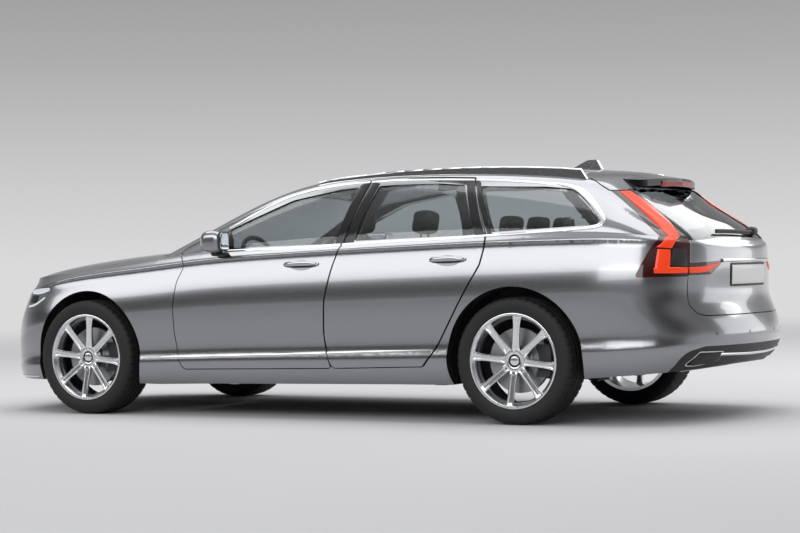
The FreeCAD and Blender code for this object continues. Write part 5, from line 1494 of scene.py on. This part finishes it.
class Seats:
    """Front seats and rear bench as padded leather pieces on dark frames."""

    cap = 0.012
    swell_frames = 14
    seam_width = 0.006
    seam_depth = 0.006

    def pads(self) -> list[Pad]:
        """Pads of the left front seat.

        Returns:
            Cushion, back and headrest.
        """
        return [
            Pad("seat_cushion", (0.335, 0.402, 0.428), (0.228, 0.240, 0.058), math.radians(-4), 0.030),
            Pad("seat_back", (0.000, 0.402, 0.745), (0.285, 0.228, 0.050), math.radians(76.7), 0.034),
            Pad("headrest", (-0.098, 0.402, 1.157), (0.074, 0.125, 0.044), math.radians(80), 0.0),
        ]

    def bench(self) -> list[Pad]:
        """Pads of the rear bench.

        Returns:
            Cushion, back and three headrests.
        """
        pads = [Pad("bench_cushion", (-0.700, 0.0, 0.450), (0.222, 0.575, 0.052), math.radians(-3), 0.0),
                Pad("bench_back", (-1.000, 0.0, 0.790), (0.262, 0.572, 0.048), math.radians(74), 0.0)]
        return pads + [Pad("bench_headrest_%s" % word, (-1.078, y, 1.105), (0.058, 0.115, 0.036), math.radians(78), 0.0)
                       for word, y in (("left", 0.36), ("middle", 0.0), ("right", -0.36))]

    def swell(self, piece: bpy.types.Object, voxel: float) -> None:
        """Let the pad swell as filled cloth and keep each point within the cap.

        Args:
            piece: the pad, changed in place.
            voxel: size of the remesh.
        """
        scene = bpy.context.scene
        layer = bpy.context.view_layer
        mesh_tool = piece.modifiers.new("remesh", "REMESH")
        mesh_tool.mode = "VOXEL"
        mesh_tool.voxel_size = voxel
        self.bake(piece)
        start = self.read(piece.data)
        cloth = piece.modifiers.new("cloth", "CLOTH")
        settings = cloth.settings
        settings.quality = 4
        settings.mass = 0.3
        settings.use_pressure = True
        settings.uniform_pressure_force = 4.0
        settings.tension_stiffness = settings.compression_stiffness = 12.0
        settings.effector_weights.gravity = 0.0
        cloth.collision_settings.use_collision = False
        for step in range(1, self.swell_frames + 1):
            scene.frame_set(step)
            layer.update()
        self.bake(piece)
        scene.frame_set(1)
        moved = self.read(piece.data)
        shift = moved - start
        size = np.linalg.norm(shift, axis=1, keepdims=True)
        moved = start + shift * np.minimum(1, self.cap / np.maximum(size, 1e-9))
        piece.data.vertices.foreach_set("co", moved.ravel())
        piece.data.update()

    @staticmethod
    def read(mesh: bpy.types.Mesh) -> Array:
        """Points of a mesh.

        Args:
            mesh: the mesh.

        Returns:
            One row for each point.
        """
        points = np.zeros(len(mesh.vertices) * 3)
        mesh.vertices.foreach_get("co", points)
        return points.reshape(-1, 3)

    @staticmethod
    def bake(piece: bpy.types.Object) -> None:
        """Put the result of the modifiers into the mesh.

        Args:
            piece: the object, changed in place.
        """
        graph = bpy.context.evaluated_depsgraph_get()
        mesh = bpy.data.meshes.new_from_object(piece.evaluated_get(graph))
        piece.modifiers.clear()
        piece.data = mesh

    @staticmethod
    def groove(piece: bpy.types.Object, pad: Pad) -> None:
        """Sewn channels across the pad's face and seams along its sides, pressed into the mesh.

        A channel's depth falls off as a bell curve of the distance from its line.

        Args:
            piece: the pad's object, changed in place.
            pad: its form and the places of its seams, in shares of the half length.
        """
        mesh = piece.data
        points = Seats.read(mesh)
        normals = np.zeros(len(points) * 3)
        mesh.vertex_normals.foreach_get("vector", normals)
        normals = normals.reshape(-1, 3)
        local = (points - np.array(pad.centre)) @ pad.turn()
        middle = np.clip((0.70 * pad.half[1] - np.abs(local[:, 1])) / 0.02, 0, 1) * (local[:, 2] > 0)
        depth = np.zeros(len(points))
        for place in pad.seams:
            depth += middle * np.exp(-(((local[:, 0] - place * pad.half[0]) / Seats.seam_width) ** 2))
        side = np.exp(-(((np.abs(local[:, 1]) - 0.72 * pad.half[1]) / Seats.seam_width) ** 2)) * (local[:, 2] > 0)
        if pad.seams:
            depth += side
        points -= normals * (Seats.seam_depth * np.minimum(depth, 1))[:, None]
        mesh.vertices.foreach_set("co", points.ravel())
        mesh.update()

    def add(self, pad: Pad, side: Side | None, voxel: float, nodes: Sequence[str]) -> None:
        """Args:
            pad: the pad as it is on the left.
            side: side of a front seat, none for the bench.
            voxel: size of the remesh.
            nodes: CAD nodes that it replaces.
        """
        name = pad.name if side is None else "%s_%s" % (pad.name, side.word)
        solid = pad.solid().on(side or Side.LEFT)
        if side is Side.RIGHT:
            pad = replace(pad, centre=(pad.centre[0], -pad.centre[1], pad.centre[2]))
        piece = new_object(name, solid.points, solid.faces)
        piece.data.materials.append(LEATHER.build())
        self.swell(piece, voxel)
        self.groove(piece, pad)
        smooth = piece.modifiers.new("subdivision", "SUBSURF")
        smooth.levels = smooth.render_levels = 1
        self.bake(piece)
        piece.data.polygons.foreach_set("use_smooth", np.full(len(piece.data.polygons), True))
        piece.data.materials.clear()
        piece.data.materials.append(LEATHER.build())
        piece.data.polygons.foreach_set("material_index", np.zeros(len(piece.data.polygons), np.int32))
        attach(piece, "shell")
        if nodes:
            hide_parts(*nodes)

    def frames(self) -> None:
        """Dark rails, side covers, posts and the bench's foot."""
        for side in Side:
            parts = []
            for y in (0.232, 0.572):
                parts.append(swept([(0.545, y, 0.284), (0.35, y, 0.284), (0.09, y, 0.284)], (0.016, 0.018), 10))
                parts.append(swept([(0.500, y, 0.380), (0.30, y, 0.362), (0.115, y, 0.362), (0.06, y, 0.42)],
                                   (0.012, 0.045), 12))
                for x in (0.44, 0.16):
                    parts.append(swept([(x, y, 0.30), (x, y, 0.37)], (0.014, 0.014), 8))
            for y in (0.352, 0.452):
                parts.append(swept([(-0.070, y, 0.96), (-0.098, y, 1.14)], (0.006, 0.006), 10))
            Solid.join(parts).on(side).build("seat_frame_" + side.word, "shell", "seat_leather", CABIN)
        foot = swept([(-0.52, 0, 0.330), (-0.70, 0, 0.330), (-0.92, 0, 0.330)], (0.570, 0.062), 48)
        foot.build("bench_foot", "shell", "seat_leather", CABIN)
        posts = [swept([(-1.05, y + d, 1.00), (-1.078, y + d, 1.10)], (0.005, 0.005), 8)
                 for y in (-0.36, 0, 0.36) for d in (-0.05, 0.05)]
        Solid.join(posts).build("bench_posts", "shell", "seat_leather", TRIM)

    def build(self) -> None:
        """Add the seats, the bench and their frames."""
        for side in Side:
            for pad in self.pads():
                seams = (-0.45, 0.0, 0.45) if pad.name != "headrest" else ()
                self.add(replace(pad, seams=seams), side, 0.012, ["front_seats"])
        for pad in self.bench():
            seams = (-0.5, 0.0, 0.5) if "headrest" not in pad.name else ()
            self.add(replace(pad, seams=seams), None, 0.016, ["rear_bench"])
        self.frames()


# Studio
@dataclass(frozen=True)
class Studio:
    """Pale floor, soft lamps, a plain backdrop and the camera."""

    eye: tuple[float, float, float] = (-6.2932, 10.9438, 0.9083)
    yaw: float = math.radians(29.39)
    pitch: float = math.radians(-0.136)
    roll: float = math.radians(-1.02)
    focal: float = 91.6
    floor_reach: float = 150.0
    horizon: float = 0.70

    def camera(self) -> bpy.types.Object:
        """Camera at the photograph's place and angle.

        Returns:
            The camera.
        """
        ahead = np.array([math.sin(self.yaw) * math.cos(self.pitch), -math.cos(self.yaw) * math.cos(self.pitch),
                          math.sin(self.pitch)])
        right = np.cross(ahead, [0, 0, 1])
        right /= np.linalg.norm(right)
        up = np.cross(right, ahead)
        c, s = math.cos(self.roll), math.sin(self.roll)
        right, up = c * right + s * up, c * up - s * right
        data = bpy.data.cameras.new("camera")
        data.lens = self.focal
        data.sensor_width = 36.0
        data.clip_end = 400.0
        camera = bpy.data.objects.new("camera", data)
        turn = Matrix(np.stack([right, up, -ahead], 1).tolist()).to_4x4()
        camera.matrix_world = Matrix.Translation(Vector(self.eye)) @ turn
        bpy.context.scene.collection.objects.link(camera)
        bpy.context.scene.camera = camera
        return camera

    def floor(self) -> bpy.types.Object:
        """Wide pale floor whose colour is a little darker towards the camera, a painted light falloff; far off it takes
        the colour of the walls.

        Returns:
            The floor.
        """
        r = self.floor_reach
        floor = new_object("studio_floor", [(-r, -r, 0), (r, -r, 0), (r, r, 0), (-r, r, 0)], [(0, 1, 2, 3)], False)
        material = bpy.data.materials.new("studio_floor")
        material.use_nodes = True
        nodes, links = material.node_tree.nodes, material.node_tree.links
        shader = nodes["Principled BSDF"]
        place, length, ramp = (nodes.new(kind) for kind in ("ShaderNodeTexCoord", "ShaderNodeVectorMath",
                                                            "ShaderNodeValToRGB"))
        length.operation = "LENGTH"
        split, reach = nodes.new("ShaderNodeSeparateXYZ"), nodes.new("ShaderNodeMapRange")
        reach.inputs["From Min"].default_value = -4
        reach.inputs["From Max"].default_value = 8
        links.new(place.outputs["Object"], length.inputs[0])
        links.new(place.outputs["Object"], split.inputs[0])
        links.new(split.outputs["Y"], reach.inputs["Value"])
        links.new(reach.outputs["Result"], ramp.inputs["Fac"])
        # The base colour falls from 0.68 on the far side to 0.42 towards the camera: painted light falloff, not the
        # floor's own tone.
        ramp.color_ramp.elements[0].color = (0.68, 0.68, 0.69, 1)
        ramp.color_ramp.elements[1].color = (0.42, 0.42, 0.43, 1)
        links.new(ramp.outputs["Color"], shader.inputs["Base Color"])
        shader.inputs["Roughness"].default_value = 0.9
        shader.inputs["Specular IOR Level"].default_value = 0.0
        far, fade, mix = (nodes.new(kind) for kind in ("ShaderNodeEmission", "ShaderNodeMapRange",
                                                       "ShaderNodeMixShader"))
        far.inputs["Color"].default_value = (self.horizon, self.horizon, self.horizon * 1.01, 1)
        fade.interpolation_type = "SMOOTHSTEP"
        fade.inputs["From Min"].default_value = 6
        fade.inputs["From Max"].default_value = 20
        links.new(length.outputs["Value"], fade.inputs["Value"])
        links.new(fade.outputs["Result"], mix.inputs[0])
        links.new(shader.outputs[0], mix.inputs[1])
        links.new(far.outputs[0], mix.inputs[2])
        links.new(mix.outputs[0], nodes["Material Output"].inputs["Surface"])
        floor.data.materials.append(material)
        return floor

    def lamp(self, name: str, place: Sequence[float], aim: Sequence[float], size: Sequence[float],
             watts: float) -> None:
        """Soft rectangular lamp that looks at a point.

        Args:
            name: name of the lamp.
            place: where it hangs.
            aim: point that it looks at.
            size: its two sides.
            watts: its power.
        """
        data = bpy.data.lights.new(name, "AREA")
        data.shape = "RECTANGLE"
        data.size, data.size_y = size
        data.energy = watts
        lamp = bpy.data.objects.new(name, data)
        lamp.location = Vector(place)
        lamp.rotation_euler = (Vector(aim) - Vector(place)).to_track_quat("-Z", "Y").to_euler()
        bpy.context.scene.collection.objects.link(lamp)

    @staticmethod
    def ramp(tree: bpy.types.NodeTree, source: bpy.types.NodeSocket, stops: Stations) -> bpy.types.NodeSocket:
        """Grey ramp over a value.

        Args:
            tree: node tree that gets the ramp.
            source: socket that puts out the value.
            stops: (place, grey) pairs.

        Returns:
            The socket of the colour.
        """
        node = tree.nodes.new("ShaderNodeValToRGB")
        elements = node.color_ramp.elements
        for _ in range(len(stops) - 2):
            elements.new(0.5)
        for element, (place, grey) in zip(elements, stops):
            element.position = place
            element.color = (grey, grey, grey * 1.015, 1)
        tree.links.new(source, node.inputs["Fac"])
        return node.outputs["Color"]

    def world(self) -> None:
        """Studio walls: pale behind the car, dark low down behind the camera, bright overhead."""
        world = bpy.data.worlds.new("studio")
        bpy.context.scene.world = world
        world.use_nodes = True
        tree = world.node_tree
        nodes, links = tree.nodes, tree.links
        shade = nodes["Background"]
        place, split, mix = (nodes.new(kind) for kind in ("ShaderNodeTexCoord", "ShaderNodeSeparateXYZ",
                                                          "ShaderNodeMix"))
        links.new(place.outputs["Generated"], split.inputs[0])
        behind = self.ramp(tree, split.outputs["Z"], ((0.0, 0.70), (0.04, 0.60), (0.07, 0.51), (0.10, 0.42),
                                                      (0.135, 0.35), (0.4, 0.25), (0.8, 0.8)))
        before = self.ramp(tree, split.outputs["Z"], ((0.0, 0.08), (0.05, 0.04), (0.18, 0.06), (0.36, 0.35),
                                                      (0.60, 0.45), (0.8, 0.8)))
        mix.data_type = "RGBA"
        spread = nodes.new("ShaderNodeMapRange")
        spread.inputs["From Min"].default_value = -0.25
        spread.inputs["From Max"].default_value = 0.35
        links.new(split.outputs["Y"], spread.inputs["Value"])
        links.new(spread.outputs["Result"], mix.inputs["Factor"])
        links.new(behind, mix.inputs["A"])
        links.new(before, mix.inputs["B"])
        links.new(mix.outputs["Result"], shade.inputs["Color"])
        shade.inputs["Strength"].default_value = 1.0

    def build(self) -> None:
        """Set up the whole studio."""
        bpy.context.scene.view_settings.view_transform = "Standard"
        self.camera()
        self.floor()
        self.world()
        self.lamp("overhead", (0, -0.6, 6.4), (0, -0.6, 0), (12, 4.6), 300)
        self.lamp("far_side", (-4.5, -9.0, 5.8), (-2.0, 0, 0.8), (9, 3.2), 190)
        self.lamp("tail_side", (-8.5, -8.0, 2.6), (-2.3, 0, 0.9), (7, 4), 110)
        self.lamp("rear_low", (-4.0, 9.5, 2.75), (-2.5, 0, 0.9), (6.5, 1.7), 80)
        self.lamp("near_side", (5.5, 9.0, 4.7), (5.5, 0, 1.2), (24, 3.4), 640)


def main() -> None:
    """Build the pieces in order and report each one."""
    logging.basicConfig(level=logging.INFO)
    Studio().build()
    finish_nodes()
    form = BodyForm()
    panels = Panels(form)
    bodies = node_bodies()
    for node, slot in node_slots().items():
        if slot == "paint" and not node.startswith(("mirror", "antenna")):
            panels.dress(node, bodies[node], PAINT.build())
            LOG.info("dressed %s", node)
    add_wheels()
    LOG.info("wheels and tyres")
    Trim(Outside(form)).build()
    Seats().build()
    LOG.info("seats")


if __name__ == "__main__":
    main()
